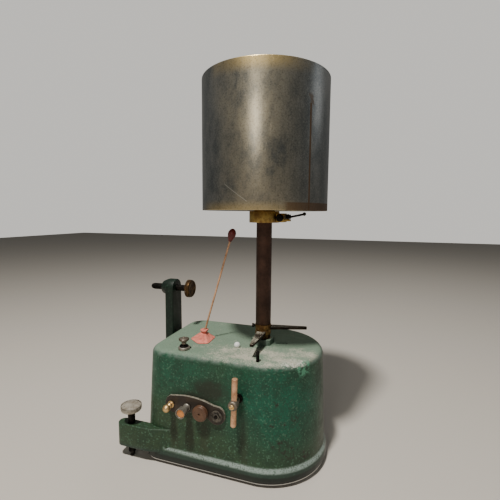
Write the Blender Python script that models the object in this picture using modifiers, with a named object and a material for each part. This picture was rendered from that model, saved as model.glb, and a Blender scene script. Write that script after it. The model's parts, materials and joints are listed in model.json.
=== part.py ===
"""Kymograph: a motor-driven recording drum on a cast case, with contact arms and a brake.

The layout is worked out in millimetres round the drum's spindle, which stands at X = 0, Y = 0
with the bench at Z = 0. The front wall, with its terminals, faces -Y. The root empty then
moves everything so that the origin is under the middle of the whole instrument.
"""
import math

import bmesh
import bpy
from mathutils import Vector

MM = 0.001
GAP = 0.3

# Recording drum
DRUM_RADIUS = 76.2
DRUM_BOTTOM = 309.0
DRUM_TOP = DRUM_BOTTOM + 2 * DRUM_RADIUS
DRUM_WALL = 1.6
DRUM_RECESS = 3.0
DISC_THICKNESS = 3.0
HUB_RADIUS = 18.7
HUB_BOTTOM = 294.5
CLAMP_POST = (31.0, -4.4)

# Spindle and the tube that carries the drum
SPINDLE_RADIUS = 6.35
SPINDLE_TOP = 464.0
CARRIER_RADIUS = 9.65
CARRIER_BOTTOM = 166.2
CARRIER_TOP = 463.0

# Case: a plan with a half-round right end and two rounded left corners
CASE_TOP = 140.5
CASE_BOTTOM = 7.0
CASE_HALF_WIDTH = 68.0
CASE_ROUND_X = 8.0
CASE_LEFT = -131.0
CASE_CORNER = 18.0
CORNER_GROWTH = 0.053
CASE_EDGE = 8.0
CASE_DRAFT = 0.035
CASE_WALL = 5.0
FLANGE_PROUD = 2.8
FLANGE_TOP = 22.0
BOSS_RADIUS = 14.7
BOSS_TOP = 147.6
BOSS_TURN = math.radians(22)

# Supports
PLATE_BOTTOM = 3.7
PLATE_THICKNESS = 3.0
PLATE_INSET = 1.2
FOOT_PLACES = {"right": (72.0, 3.0), "back": (-105.0, 48.0)}
FOOT_RADIUS = 10.0
LEVELLER = (-149.5, -72.0)
LUG_END = (-160.0, -72.5)
LUG_HALF_WIDTH = 7.0
LUG_BOTTOM = 15.0
LUG_TOP = 44.6
THUMB_RADIUS = 12.7
THUMB_SHAFT = 4.5
SCREW_BOSSES = ((-112.0, -62.6), (-112.0, 62.6), (50.0, -49.0), (50.0, 49.0))

# Side arm, the third foot when the instrument lies on its side
ARM_LEFT = -151.0
ARM_RIGHT = -138.3
ARM_Y = 25.2
ARM_HALF_DEPTH = 12.7
ARM_BOTTOM = 30.0
ARM_PAD_TOP = 122.0
SIDE_SCREW_Z = 197.3
SIDE_TIP_X = -181.0
SIDE_HEAD_X = -113.6
ARM_BOLT_HEIGHTS = (52.0, 100.0)

# Terminals on the front wall: X and Z of each
TERMINALS = ((-91.4, 79.8), (-70.6, 80.0), (-52.0, 77.4), (-33.0, 75.7))
STUD_RADIUS = 1.9
STUD_INNER = 57.0
PANEL_THICKNESS = 3.2
TOP_TERMINAL = (-84.6, -53.8)

# Brake
BRAKE_X = -8.0
BRAKE_Z = 100.0
BRAKE_SHAFT = 3.0
BRAKE_HUB_Y = -84.0
BRAKE_TILT = math.radians(1.7)
BRAKE_COLLAR = 18.0
HANDLE_RADIUS = 3.2
HANDLE_HALF = 27.7

# Lever
LEVER_PIVOT = Vector((-82.6, -14.0, 128.0))
LEVER_LEAN = math.radians(16.3)
ROD_RADIUS = 1.2
ROD_LENGTH = 160.5

# Contacts
TRIP_PIN = (10.8, -59.0)
TRIP_PIN_TOP = 152.4
TRIP_PIN_RADIUS = 1.9
OIL_PLUG = (-26.0, -26.0)
STRIKER_COLLAR = 10.1
STRIKER_REACH = 55.5
UPPER_ARM_ANGLE = math.radians(14)
LOWER_ARM_ANGLE = math.radians(-88)

# Gear train
MODULE = 1.4
LAY_X = -42.0
MOTOR_X = -77.0
SPINDLE_TEETH = 50
LAY_TEETH = 40
PINION_TEETH = 10
MOTOR_RADIUS = 26.0
MOTOR_TOP = 82.0
GEAR_PLATE_Z = 100.0
PILLAR_Y = 36.0

FLANGE_RIGHT = CASE_ROUND_X + CASE_HALF_WIDTH + CASE_DRAFT * 125.0 + FLANGE_PROUD
HANDLE_SCREW_END = -92.4
CENTRE_X = (SIDE_TIP_X + FLANGE_RIGHT) / 2
CENTRE_Y = (HANDLE_SCREW_END + DRUM_RADIUS) / 2


def start_scene():
    for old in list(bpy.data.objects):
        bpy.data.objects.remove(old)
    parts = bpy.data.collections.new("kymograph")
    cutters = bpy.data.collections.new("cutters")
    bpy.context.scene.collection.children.link(parts)
    bpy.context.scene.collection.children.link(cutters)
    return parts, cutters


PARTS, CUTTERS = start_scene()
PLACES = {}


def paint(name, colour, roughness, metallic):
    finish = bpy.data.materials.new(name)
    finish.use_nodes = True
    shader = finish.node_tree.nodes["Principled BSDF"]
    shader.inputs["Base Color"].default_value = (*colour, 1.0)
    shader.inputs["Roughness"].default_value = roughness
    shader.inputs["Metallic"].default_value = metallic
    return finish


GREEN = paint("green_enamel", (0.02, 0.11, 0.06), 0.45, 0.0)
BLACK = paint("black_paint", (0.02, 0.02, 0.02), 0.5, 0.0)
DARK_STEEL = paint("dark_steel", (0.06, 0.05, 0.045), 0.45, 0.8)
BRASS = paint("dull_brass", (0.36, 0.22, 0.08), 0.4, 0.9)
BRONZE = paint("brown_bronze", (0.25, 0.16, 0.08), 0.4, 0.8)
COPPER = paint("copper_tan", (0.55, 0.32, 0.18), 0.4, 0.7)
NICKEL = paint("worn_nickel", (0.24, 0.24, 0.22), 0.3, 0.9)
RUSTY = paint("rusty_tube", (0.13, 0.07, 0.05), 0.6, 0.4)
EBONITE = paint("black_ebonite", (0.025, 0.02, 0.018), 0.5, 0.0)
BAKELITE = paint("brown_bakelite", (0.09, 0.045, 0.03), 0.35, 0.0)
RED_RUBBER = paint("red_rubber", (0.45, 0.1, 0.07), 0.8, 0.0)
RED_PLASTIC = paint("dark_red_plastic", (0.25, 0.02, 0.02), 0.4, 0.0)
WHITE = paint("white_plastic", (0.85, 0.85, 0.82), 0.2, 0.0)
RUBBER = paint("black_rubber", (0.02, 0.02, 0.02), 0.8, 0.0)
STEEL = paint("bright_steel", (0.5, 0.5, 0.5), 0.3, 1.0)


def empty(name, place, parent=None):
    """An empty on a joint's axis, at a place given in the layout's millimetres."""
    holder = bpy.data.objects.new(name, None)
    PARTS.objects.link(holder)
    PLACES[name] = Vector(place)
    if parent is None:
        holder.location = Vector((-CENTRE_X, -CENTRE_Y, 0.0)) * MM
    else:
        holder.parent = parent
        holder.location = (PLACES[name] - PLACES[parent.name]) * MM
    return holder


ROOT = empty("kymograph_root", (0.0, 0.0, 0.0))


def settle(item, place, finish, parent, turn=(0.0, 0.0, 0.0), collection=None):
    """Link an object, give it its finish and put its origin at a place in the layout."""
    (collection or PARTS).objects.link(item)
    item.parent = parent
    item.location = (Vector(place) - PLACES[parent.name]) * MM
    item.rotation_euler = turn
    PLACES[item.name] = Vector(place)
    if finish is not None:
        item.data.materials.append(finish)
    return item


def shape(name, mesh_maker):
    bm = bmesh.new()
    mesh_maker(bm)
    bmesh.ops.recalc_face_normals(bm, faces=bm.faces)
    mesh = bpy.data.meshes.new(name)
    bm.to_mesh(mesh)
    bm.free()
    return bpy.data.objects.new(name, mesh)


def solid(radius, low, high):
    """Profile of a plain cylinder, from the axis at the top to the axis at the bottom."""
    return [(0, high), (radius, high), (radius, low), (0, low)]


def ring(inner, outer, low, high):
    """Closed profile of a ring, down its outer side and up its bore."""
    return [(outer, high), (outer, low), (inner, low), (inner, high), (outer, high)]


def turned_shape(name, profile, sides):
    mesh = bpy.data.meshes.new(name)
    closed = profile[0] == profile[-1]
    points = profile[:-1] if closed else profile
    edges = [(i, i + 1) for i in range(len(points) - 1)]
    if closed:
        edges.append((len(points) - 1, 0))
    mesh.from_pydata([(r * MM, 0, z * MM) for r, z in points], edges, [])
    item = bpy.data.objects.new(name, mesh)
    screw = item.modifiers.new("turn", "SCREW")
    screw.steps = sides
    screw.render_steps = sides
    screw.use_merge_vertices = True
    screw.merge_threshold = 0.00001
    return item


TURN = {"Z": (0, 0, 0), "-Y": (math.pi / 2, 0, 0), "-X": (0, -math.pi / 2, 0)}


def turned(name, profile, place, finish, parent=ROOT, axis="Z", sides=20):
    """A turned piece whose profile heights run along the axis from its place."""
    return settle(turned_shape(name, profile, sides), place, finish, parent, TURN[axis])


def block(bm, low, high):
    """A box between two corners, in millimetres from the object's own origin."""
    made = bmesh.ops.create_cube(bm, size=1.0)["verts"]
    for vert in made:
        for i in range(3):
            vert.co[i] = (low[i] if vert.co[i] < 0 else high[i]) * MM
    return made


def flat_shape(name, outline, thickness, holes=()):
    """A 2D filled curve, thickened evenly to both sides; holes are (x, y, radius)."""
    curve = bpy.data.curves.new(name, "CURVE")
    curve.dimensions = "2D"
    curve.fill_mode = "BOTH"
    curve.extrude = thickness / 2 * MM
    rings = [outline] + [circle(x, y, radius, 16) for x, y, radius in holes]
    for points in rings:
        spline = curve.splines.new("POLY")
        spline.points.add(len(points) - 1)
        for point, (x, y) in zip(spline.points, points):
            point.co = (x * MM, y * MM, 0, 1)
        spline.use_cyclic_u = True
    return bpy.data.objects.new(name, curve)


def circle(x, y, radius, sides, start=0.0, end=2 * math.pi):
    closed = abs(end - start - 2 * math.pi) < 1e-6
    count = sides if closed else sides + 1
    angles = [start + (end - start) * i / sides for i in range(count)]
    return [(x + radius * math.cos(a), y + radius * math.sin(a)) for a in angles]


def tube(name, points, radius, finish, parent=ROOT):
    """Round wire along points given in the layout; its origin is the first point."""
    curve = bpy.data.curves.new(name, "CURVE")
    curve.dimensions = "3D"
    curve.bevel_depth = radius * MM
    curve.bevel_resolution = 2
    curve.use_fill_caps = True
    spline = curve.splines.new("POLY")
    spline.points.add(len(points) - 1)
    for point, place in zip(spline.points, points):
        point.co = (*((Vector(place) - Vector(points[0])) * MM), 1)
    return settle(bpy.data.objects.new(name, curve), points[0], finish, parent)


def meshed(item):
    """Replace a curve or a modified object by the welded mesh that it shows."""
    bpy.context.view_layer.update()
    graph = bpy.context.evaluated_depsgraph_get()
    mesh = bpy.data.meshes.new_from_object(item.evaluated_get(graph))
    bm = bmesh.new()
    bm.from_mesh(mesh)
    bmesh.ops.remove_doubles(bm, verts=bm.verts, dist=0.000005)
    bmesh.ops.recalc_face_normals(bm, faces=bm.faces)
    bm.to_mesh(mesh)
    bm.free()
    name, parent, collection = item.name, item.parent, item.users_collection[0]
    place, turn = item.location.copy(), item.rotation_euler.copy()
    hidden = item.hide_render
    bpy.data.objects.remove(item)
    made = bpy.data.objects.new(name, mesh)
    made.hide_render = hidden
    made.display_type = "WIRE" if hidden else "TEXTURED"
    collection.objects.link(made)
    made.parent = parent
    made.location = place
    made.rotation_euler = turn
    return made


def cutter(item, place, parent=ROOT, turn=(0, 0, 0)):
    settle(item, place, None, parent, turn, CUTTERS)
    item.hide_render = True
    item.display_type = "WIRE"
    return item


def round_cutter(radius, low, high, place, axis="Z", parent=ROOT, sides=16):
    return cutter(turned_shape("hole", solid(radius, low, high), sides), place, parent, TURN[axis])


def box_cutter(low, high, place=(0, 0, 0), parent=ROOT):
    return cutter(shape("hole", lambda bm: block(bm, low, high)), place, parent)


def carve(target, tools, operation="DIFFERENCE"):
    """Cut or join one tool after another, keeping the exact solver."""
    for tool in tools:
        step = target.modifiers.new("carve", "BOOLEAN")
        step.operation = operation
        step.solver = "EXACT"
        step.object = tool
    return target


def wall_offset(height):
    """How far the sloping wall stands outside the plan at this height."""
    return CASE_DRAFT * max(0.0, CASE_TOP - CASE_EDGE - height)


def case_plan(offset, height=0.0):
    """The case's plan at a height, grown by an offset, anticlockwise from the front.

    The left corners grow rounder towards the top.
    """
    corner = CASE_CORNER + CORNER_GROWTH * height
    radius = corner + offset
    corner_x = CASE_LEFT + corner
    corner_y = CASE_HALF_WIDTH - corner
    half = math.pi / 2
    plan = circle(CASE_ROUND_X, 0, CASE_HALF_WIDTH + offset, 22, -half, half)
    plan += circle(corner_x, corner_y, radius, 4, half, 2 * half)
    plan += circle(corner_x, -corner_y, radius, 4, 2 * half, 3 * half)
    return plan


def skin(bm, levels):
    """A stack of plan outlines at (offset, height), joined by strips and closed on top."""
    loops = []
    for offset, height in levels:
        plan = case_plan(offset, height)
        loops.append([bm.verts.new((x * MM, y * MM, height * MM)) for x, y in plan])
    for lower, upper in zip(loops, loops[1:]):
        join_loops(bm, lower, upper)
    bm.faces.new(loops[-1])
    return loops[0]


def join_loops(bm, lower, upper):
    count = len(lower)
    for i in range(count):
        j = (i + 1) % count
        bm.faces.new((lower[i], lower[j], upper[j], upper[i]))


def case_shell(bm):
    foot = wall_offset(CASE_BOTTOM)
    outer = [(foot + FLANGE_PROUD - 1.0, CASE_BOTTOM), (foot + FLANGE_PROUD, CASE_BOTTOM + 2)]
    outer += [(wall_offset(17) + FLANGE_PROUD, 17), (wall_offset(20) + 1.8, 20)]
    outer += [(wall_offset(FLANGE_TOP + 1), FLANGE_TOP + 1)]
    for i in range(5):
        angle = math.pi / 2 * i / 4
        rise = CASE_TOP - CASE_EDGE + CASE_EDGE * math.sin(angle)
        outer.append((CASE_EDGE * (math.cos(angle) - 1), rise))
    roof = CASE_TOP - CASE_WALL
    inner = [(foot - CASE_WALL, CASE_BOTTOM), (-CASE_WALL, roof - 6), (-CASE_WALL - 4, roof)]
    outer_rim = skin(bm, outer)
    inner_rim = skin(bm, inner)
    join_loops(bm, outer_rim, inner_rim)


def lug_outline():
    x, y = LUG_END
    half = math.pi / 2
    end = circle(x, y, LUG_HALF_WIDTH, 8, half, 3 * half)
    front = y - LUG_HALF_WIDTH
    face = [(-130, front), (-118, -78.2), (-106, -75.0), (-96, -72.0), (-88, -70.2)]
    return end + face + [(-88, -68.8), (-106, -69.5), (-126, y + LUG_HALF_WIDTH)]


def case_additions():
    lug = cutter(flat_shape("lug", lug_outline(), LUG_TOP - LUG_BOTTOM),
                 (0, 0, (LUG_TOP + LUG_BOTTOM) / 2))
    boss = turned_shape("boss", solid(BOSS_RADIUS, CASE_TOP - 2, BOSS_TOP), 6)
    additions = [meshed(lug), cutter(boss, (0, 0, 0), turn=(0, 0, BOSS_TURN))]
    for x, y in SCREW_BOSSES:
        additions.append(round_cutter(5.5, CASE_BOTTOM, 26, (x, y, 0), sides=12))
    return additions


def case_openings():
    holes = [round_cutter(10.5, 128, 150, (0, 0, 0), sides=20)]
    holes.append(round_cutter(THUMB_SHAFT + GAP, 0, 60, (*LEVELLER, 0)))
    holes.append(round_cutter(TRIP_PIN_RADIUS + 0.4, 125, 150, (*TRIP_PIN, 0), sides=12))
    holes.append(round_cutter(2.3, 125, 150, (*OIL_PLUG, 0), sides=12))
    holes.append(round_cutter(2.3, 125, 150, (*TOP_TERMINAL, 0), sides=12))
    holes.append(round_cutter(BRAKE_SHAFT + GAP, 50, 80, (BRAKE_X, 0, BRAKE_Z), "-Y"))
    for x, z in TERMINALS:
        holes.append(round_cutter(2.6, 50, 80, (x, 0, z), "-Y", sides=12))
    for z in ARM_BOLT_HEIGHTS:
        holes.append(round_cutter(3.3, 120, 140, (0, ARM_Y, z), "-X", sides=12))
    holes.append(box_cutter((-88.8, -16.2, 125), (-74.8, -11.8, 150)))
    slot = shape("hole", lambda bm: block(bm, (-8, -1.6, -15), (8, 1.6, 15)))
    holes.append(cutter(slot, (23.3, 4.5, CASE_TOP), turn=(0, 0, math.radians(13))))
    return holes


def make_case():
    case = settle(shape("case_casting", case_shell), (0, 0, 0), GREEN, ROOT)
    carve(case, case_additions(), "UNION")
    carve(case, case_openings())


def make_base():
    edge = wall_offset(CASE_BOTTOM) + FLANGE_PROUD - 1.0 - PLATE_INSET
    plate = flat_shape("base_plate", case_plan(edge), PLATE_THICKNESS)
    settle(plate, (0, 0, PLATE_BOTTOM + PLATE_THICKNESS / 2), BLACK, ROOT)
    profile = [(0, PLATE_BOTTOM - GAP), (FOOT_RADIUS, PLATE_BOTTOM - GAP), (FOOT_RADIUS, 1.0)]
    profile += [(FOOT_RADIUS - 1, 0), (0, 0)]
    for side, (x, y) in FOOT_PLACES.items():
        turned(side + "_foot", profile, (x, y, 0), RUBBER, sides=24)


def thumb_profile(tip_low, tip_high, head_low, head_high, tip_radius):
    """A thumb screw, tip down: reduced tip, shaft, and a wide head with broken edges."""
    rim = THUMB_RADIUS
    head = [(0, head_high), (rim - 2.2, head_high), (rim, head_high - 1.4)]
    head += [(rim, head_low + 1.0), (rim - 1.0, head_low), (THUMB_SHAFT, head_low)]
    tip = [(THUMB_SHAFT, tip_high), (tip_radius, tip_high - 1.0), (tip_radius, tip_low + 1.5)]
    return head + tip + [(tip_radius - 1.5, tip_low), (0, tip_low)]


def make_levelling_screw():
    joint = empty("levelling_axis", (*LEVELLER, 0), ROOT)
    profile = thumb_profile(0.0, 6.5, 60.5, 67.0, 3.0)
    turned("levelling_screw", profile, (*LEVELLER, 0), BRONZE, joint)


def make_side_arm():
    half = ARM_HALF_DEPTH
    face = [(half + 1.6, ARM_BOTTOM)]
    face += circle(0, SIDE_SCREW_Z, half, 14, 0, math.pi)
    face += [(-half - 1.6, ARM_BOTTOM)]
    middle_x = (ARM_LEFT + ARM_RIGHT) / 2
    arm = flat_shape("side_arm", face, ARM_RIGHT - ARM_LEFT)
    turn = (math.pi / 2, 0, math.pi / 2)
    arm = meshed(settle(arm, (middle_x, ARM_Y, 0), GREEN, ROOT, turn))
    pad_low = CASE_LEFT - wall_offset(ARM_BOTTOM) - GAP
    pad_high = CASE_LEFT - wall_offset(ARM_PAD_TOP) - GAP
    pad_face = [(ARM_RIGHT - 2, ARM_BOTTOM), (pad_low, ARM_BOTTOM)]
    pad_face += [(pad_high, ARM_PAD_TOP), (ARM_RIGHT - 2, ARM_PAD_TOP + 5)]
    pad = cutter(flat_shape("pad", pad_face, 2 * half), (0, ARM_Y, 0), turn=(math.pi / 2, 0, 0))
    boss = [(0, 160), (8.6, 160), (half - 0.2, 150), (0, 150)]
    boss = cutter(turned_shape("boss", boss, 28), (0, ARM_Y, SIDE_SCREW_Z), turn=TURN["-X"])
    carve(arm, [meshed(pad), boss], "UNION")
    holes = [round_cutter(THUMB_SHAFT + GAP, 130, 170, (0, ARM_Y, SIDE_SCREW_Z), "-X")]
    for z in ARM_BOLT_HEIGHTS:
        holes.append(round_cutter(3.3, 125, 160, (0, ARM_Y, z), "-X", sides=12))
    carve(arm, holes)


def make_side_fasteners():
    bolt_head = -ARM_LEFT + GAP
    bolt = [(0, bolt_head + 4), (4.6, bolt_head + 4), (5.4, bolt_head + 3), (5.4, bolt_head)]
    bolt += [(3.0, bolt_head), (3.0, 124), (0, 124)]
    for name, z in zip(("lower", "upper"), ARM_BOLT_HEIGHTS):
        turned(name + "_arm_bolt", bolt, (0, ARM_Y, z), DARK_STEEL, axis="-X", sides=6)
    joint = empty("side_screw_axis", (0, ARM_Y, SIDE_SCREW_Z), ROOT)
    rim = THUMB_RADIUS
    low = -SIDE_HEAD_X
    tip = -SIDE_TIP_X
    profile = [(0, tip), (1.8, tip - 0.5), (3.4, tip - 2.0), (THUMB_SHAFT, tip - 4.5)]
    profile += [(THUMB_SHAFT, low + 6), (rim - 0.8, low + 6), (rim, low + 5.2)]
    profile += [(rim, low + 0.8), (rim - 0.8, low), (0, low)]
    turned("side_screw", profile, (0, ARM_Y, SIDE_SCREW_Z), BRONZE, joint, "-X")


def panel_outline():
    """The terminal plate: two round ends and a bowed upper edge between them."""
    left = circle(-89.0, 80.2, 10.6, 8, math.radians(110), math.radians(282))
    right = circle(-34.0, 75.7, 11.0, 8, math.radians(-128), math.radians(68))
    lower = [(-78, 71.6), (-66, 73.4), (-54, 73.0), (-46, 70.8)]
    upper = [(-41, 87.8), (-52, 90.6), (-64, 92.0), (-76, 92.2), (-84, 91.2)]
    return left + lower + right + upper


def make_terminal_plate():
    holes = [(x, z, 2.9) for x, z in TERMINALS]
    plate = flat_shape("terminal_plate", panel_outline(), PANEL_THICKNESS, holes)
    slope = math.atan(CASE_DRAFT)
    back = CASE_HALF_WIDTH + CASE_DRAFT * (CASE_TOP - CASE_EDGE) + GAP + 0.1
    settle(plate, (0, -back - PANEL_THICKNESS / 2, 0), EBONITE, ROOT, (math.pi / 2 - slope, 0, 0))


def make_terminal_studs():
    ends = (81.0, 80.5, 76.5, 77.5)
    for i, ((x, z), end) in enumerate(zip(TERMINALS, ends)):
        stud = [(0, end), (STUD_RADIUS, end), (STUD_RADIUS, 64.2), (4.6, 64.2), (4.6, 61.0)]
        stud += [(STUD_RADIUS, 61.0), (STUD_RADIUS, STUD_INNER), (0, STUD_INNER)]
        turned("terminal_stud_%d" % (i + 1), stud, (x, 0, z), BRASS, axis="-Y", sides=10)


def make_terminal_knobs():
    bore = STUD_RADIUS + GAP
    ball = sphere_profile(4.5, 84.5, 6)[:-2]
    ball += [(2.4, 80.8), (3.2, 80.0), (3.7, 78.6), (3.2, 77.0), (2.6, 76.3), (4.2, 75.6)]
    ball += [(4.2, 74.2), (bore, 74.2), (bore, 81.4), (0, 81.4)]
    barrel = [(0, 89.6), (4.9, 89.6), (5.6, 89.0), (5.6, 83.0), (4.9, 82.4), (3.8, 82.0)]
    barrel += [(3.8, 75.8), (4.3, 75.4), (4.3, 74.2)]
    barrel += [(bore, 74.2), (bore, 80.9), (0, 80.9)]
    wheel = [(0, 79.0), (1.4, 79.0), (1.4, 80.6), (8.4, 80.6), (9.2, 79.8), (9.2, 75.8)]
    wheel += [(8.4, 75.0), (bore, 75.0), (bore, 77.0), (0, 77.0)]
    profiles = (ball, barrel, wheel)
    finishes = (BRASS, COPPER, BAKELITE)
    for i, (profile, finish) in enumerate(zip(profiles, finishes)):
        x, z = TERMINALS[i]
        joint = empty("terminal_axis_%d" % (i + 1), (x, 0, z), ROOT)
        turned("terminal_knob_%d" % (i + 1), profile, (x, 0, z), finish, joint, "-Y", 16)
    x, z = TERMINALS[3]
    nut = [(7.0, 75.0), (7.0, 74.1), (bore, 74.1), (bore, 76.6), (3.9, 76.6)]
    nut += [(4.3, 76.0), (4.3, 75.2), (7.0, 75.0)]
    turned("terminal_nut_4", nut, (x, 0, z), DARK_STEEL, axis="-Y", sides=16)


def sphere_profile(radius, centre, steps):
    angles = [math.pi * i / steps for i in range(steps + 1)]
    return [(radius * math.sin(a), centre + radius * math.cos(a)) for a in angles]


def make_top_terminal():
    x, y = TOP_TERMINAL
    top = CASE_TOP + GAP
    base = [(0, top + 8.0), (1.9, top + 8.0), (1.9, top + 5.2), (4.8, top + 5.2), (5.2, top + 4.7)]
    base += [(5.2, top + 3.3), (6.6, top + 3.3), (7.0, top + 2.7), (7.0, top), (1.9, top)]
    base += [(1.9, 126), (0, 126)]
    turned("top_terminal_base", base, (x, y, 0), DARK_STEEL, sides=16)
    joint = empty("top_terminal_axis", (x, y, 0), ROOT)
    low = top + 6.0
    bore = 1.9 + GAP
    knob = [(0, low + 9.6), (1.3, low + 9.2), (1.6, low + 8.0), (5.2, low + 7.3)]
    knob += [(6.1, low + 6.6)]
    knob += [(6.1, low + 5.4), (5.6, low + 4.7), (3.0, low + 2.6), (2.9, low), (bore, low)]
    knob += [(bore, low + 2.4), (0, low + 2.4)]
    turned("top_terminal_knob", knob, (x, y, 0), BRONZE, joint, sides=16)


def make_brake():
    joint = empty("brake_axis", (BRAKE_X, 0, BRAKE_Z), ROOT)
    place = (BRAKE_X, 0, BRAKE_Z)
    wall = CASE_HALF_WIDTH + wall_offset(BRAKE_Z)
    gland = ring(BRAKE_SHAFT + GAP, 5.4, wall + 0.7, wall + 4.0)
    turned("brake_gland", gland, place, DARK_STEEL, axis="-Y")
    turned("brake_shaft", solid(BRAKE_SHAFT, 26.0, 80.6), place, DARK_STEEL, joint, "-Y")
    pad = [(0, 25.7), (7.0, 25.7), (7.0, 19.2), (6.2, 18.6), (0, 18.6)]
    turned("brake_pad", pad, place, BRASS, joint, "-Y")
    hub_y = -BRAKE_HUB_Y
    hub = [(0, hub_y + 6.3), (4.6, hub_y + 6.3), (5.4, hub_y + 5.5), (5.4, hub_y - 2.4)]
    hub += [(4.6, hub_y - 3.1), (0, hub_y - 3.1)]
    bar = [(0, HANDLE_HALF), (2.9, HANDLE_HALF), (HANDLE_RADIUS, HANDLE_HALF - 0.4)]
    bar += [(HANDLE_RADIUS, 2 - HANDLE_HALF), (2.2, 0.7 - HANDLE_HALF), (0, -HANDLE_HALF)]
    handle = turned("brake_handle", bar, (BRAKE_X, BRAKE_HUB_Y, BRAKE_Z + 1.1), COPPER, joint)
    handle.rotation_euler = (0, BRAKE_TILT, 0)
    sleeve = cutter(turned_shape("hub", hub, 24), place, turn=TURN["-Y"])
    carve(handle, [sleeve], "UNION")
    screw = [(0, hub_y + 8.4), (2.2, hub_y + 8.4), (2.75, hub_y + 7.9), (2.75, hub_y + 6.6)]
    screw += [(0, hub_y + 6.6)]
    tip = turned("handle_screw", screw, place, BRASS, joint, "-Y", 20)
    slot = box_cutter((-4, -95, -0.45), (4, -hub_y - 7.7, 0.45), place)
    carve(tip, [slot])


def lever_point(distance, side=0.0):
    """A point on the lever's rod, so far from its pivot and so far to the rod's right."""
    along = Vector((math.sin(LEVER_LEAN), 0, math.cos(LEVER_LEAN)))
    across = Vector((math.cos(LEVER_LEAN), 0, -math.sin(LEVER_LEAN)))
    return LEVER_PIVOT + along * distance + across * side


def make_lever():
    joint = empty("lever_axis", LEVER_PIVOT, ROOT)
    tail = lever_point(-14)
    rod = tube("lever_rod", [tail, lever_point(ROD_LENGTH - 12)], ROD_RADIUS, COPPER, joint)
    rod = meshed(rod)
    eye = cutter(turned_shape("eye", solid(3.6, -2.6, 2.6), 16), LEVER_PIVOT, turn=TURN["-Y"])
    carve(rod, [eye], "UNION")
    carve(rod, [round_cutter(1.7, -5, 5, LEVER_PIVOT, "-Y", sides=12)])
    end = ROD_LENGTH - 12 + GAP
    bulb = [(0, end + 16.6), (2.4, end + 15.9), (4.2, end + 13.6), (5.2, end + 10.6)]
    bulb += [(5.0, end + 7.6), (3.8, end + 4.4), (2.6, end + 1.8), (2.2, end), (0, end)]
    knob = settle(turned_shape("lever_knob", bulb, 20), LEVER_PIVOT, RED_PLASTIC, joint)
    knob.rotation_euler = (0, LEVER_LEAN, 0)


def boot_cage(bm):
    """The boot: a six-cornered skirt that draws in to a narrow neck."""
    skirt = ((-93.0, -19.0), (-76.0, -31.6), (-65.0, -28.0))
    skirt += ((-65.8, -5.0), (-72.0, 0.6), (-88.0, -2.0))
    neck = (-77.2, -14.0)
    loops = []
    for height, reach in ((GAP, 1.0), (2.0, 0.97), (6.0, 0.6), (9.5, 0.38), (14.2, 0.34)):
        loop = []
        for x, y in skirt:
            spot = Vector((neck[0] + (x - neck[0]) * reach, neck[1] + (y - neck[1]) * reach))
            loop.append(bm.verts.new((spot.x * MM, spot.y * MM, height * MM)))
        loops.append(loop)
    for lower, upper in zip(loops, loops[1:]):
        join_loops(bm, lower, upper)
    bm.faces.new(loops[0])
    bm.faces.new(loops[-1])


def make_boot():
    boot = settle(shape("lever_boot", boot_cage), (0, 0, CASE_TOP), RED_RUBBER, ROOT)
    sweep = [(-89.5, 138), (-74.7, 138), (-70.3, 158), (-94.8, 158)]
    fan = cutter(flat_shape("sweep", sweep, 3.4), (0, -14, 0), turn=(math.pi / 2, 0, 0))
    carve(boot, [meshed(fan)])


def make_lever_bracket():
    roof = CASE_TOP - CASE_WALL - GAP
    x, y, z = LEVER_PIVOT

    def cheeks(bm):
        block(bm, (x - 8, y - 8, 118), (x + 8, y + 8, roof))

    bracket = settle(shape("lever_bracket", cheeks), (0, 0, 0), DARK_STEEL, ROOT)
    gap = box_cutter((x - 20, y - 4.5, 100), (x + 20, y + 4.5, roof - 2.4))
    top = box_cutter((x - 6.4, y - 2.4, 100), (x + 7.0, y + 2.4, 150))
    bore = round_cutter(1.7, -12, 12, LEVER_PIVOT, "-Y", sides=12)
    carve(bracket, [gap, top, bore])
    turned("lever_pin", solid(1.35, -10.5, 10.5), LEVER_PIVOT, STEEL, axis="-Y", sides=12)


def make_contacts():
    top = CASE_TOP + GAP
    plug = sphere_profile(3.8, top + 2.2, 8)[:6]
    plug += [(3.1, top), (1.9, top), (1.9, 131), (0, 131)]
    turned("oil_plug", plug, (*OIL_PLUG, 0), WHITE, sides=14)
    joint = empty("trip_pin_axis", (*TRIP_PIN, 0), ROOT)
    radius = TRIP_PIN_RADIUS
    pin = [(0, TRIP_PIN_TOP), (radius - 0.6, TRIP_PIN_TOP), (radius, TRIP_PIN_TOP - 0.8)]
    pin += [(radius, 127.0), (3.4, 127.0), (3.4, 124.5), (radius, 124.5), (radius, 117.5)]
    pin += [(0, 117.5)]
    turned("trip_pin", pin, (*TRIP_PIN, 0), DARK_STEEL, joint, sides=14)
    roof = CASE_TOP - CASE_WALL - GAP
    insulator = shape("contact_block", lambda bm: block(bm, (-16, -58.0, 114), (-6, -49.5, roof)))
    settle(insulator, (0, 0, 0), EBONITE, ROOT)
    leaf = shape("contact_blade", lambda bm: block(bm, (-15, -61.2, 112.9), (15, -56.6, 113.7)))
    settle(leaf, (0, 0, 0), BRASS, ROOT)


def arm_outline(angle):
    """A striker arm: an arc against its collar, then a long taper to a narrow tip."""
    start = STRIKER_COLLAR + GAP
    reach = math.asin(5.6 / start)
    inner = circle(0, 0, start, 4, -reach, reach)
    outline = list(reversed(inner)) + [(start + 3, -5.6), (STRIKER_REACH, -2.3)]
    outline += [(STRIKER_REACH, 2.3), (start + 3, 5.6)]
    turn = Vector((math.cos(angle), math.sin(angle)))
    return [(x * turn.x - y * turn.y, x * turn.y + y * turn.x) for x, y in outline]


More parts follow.
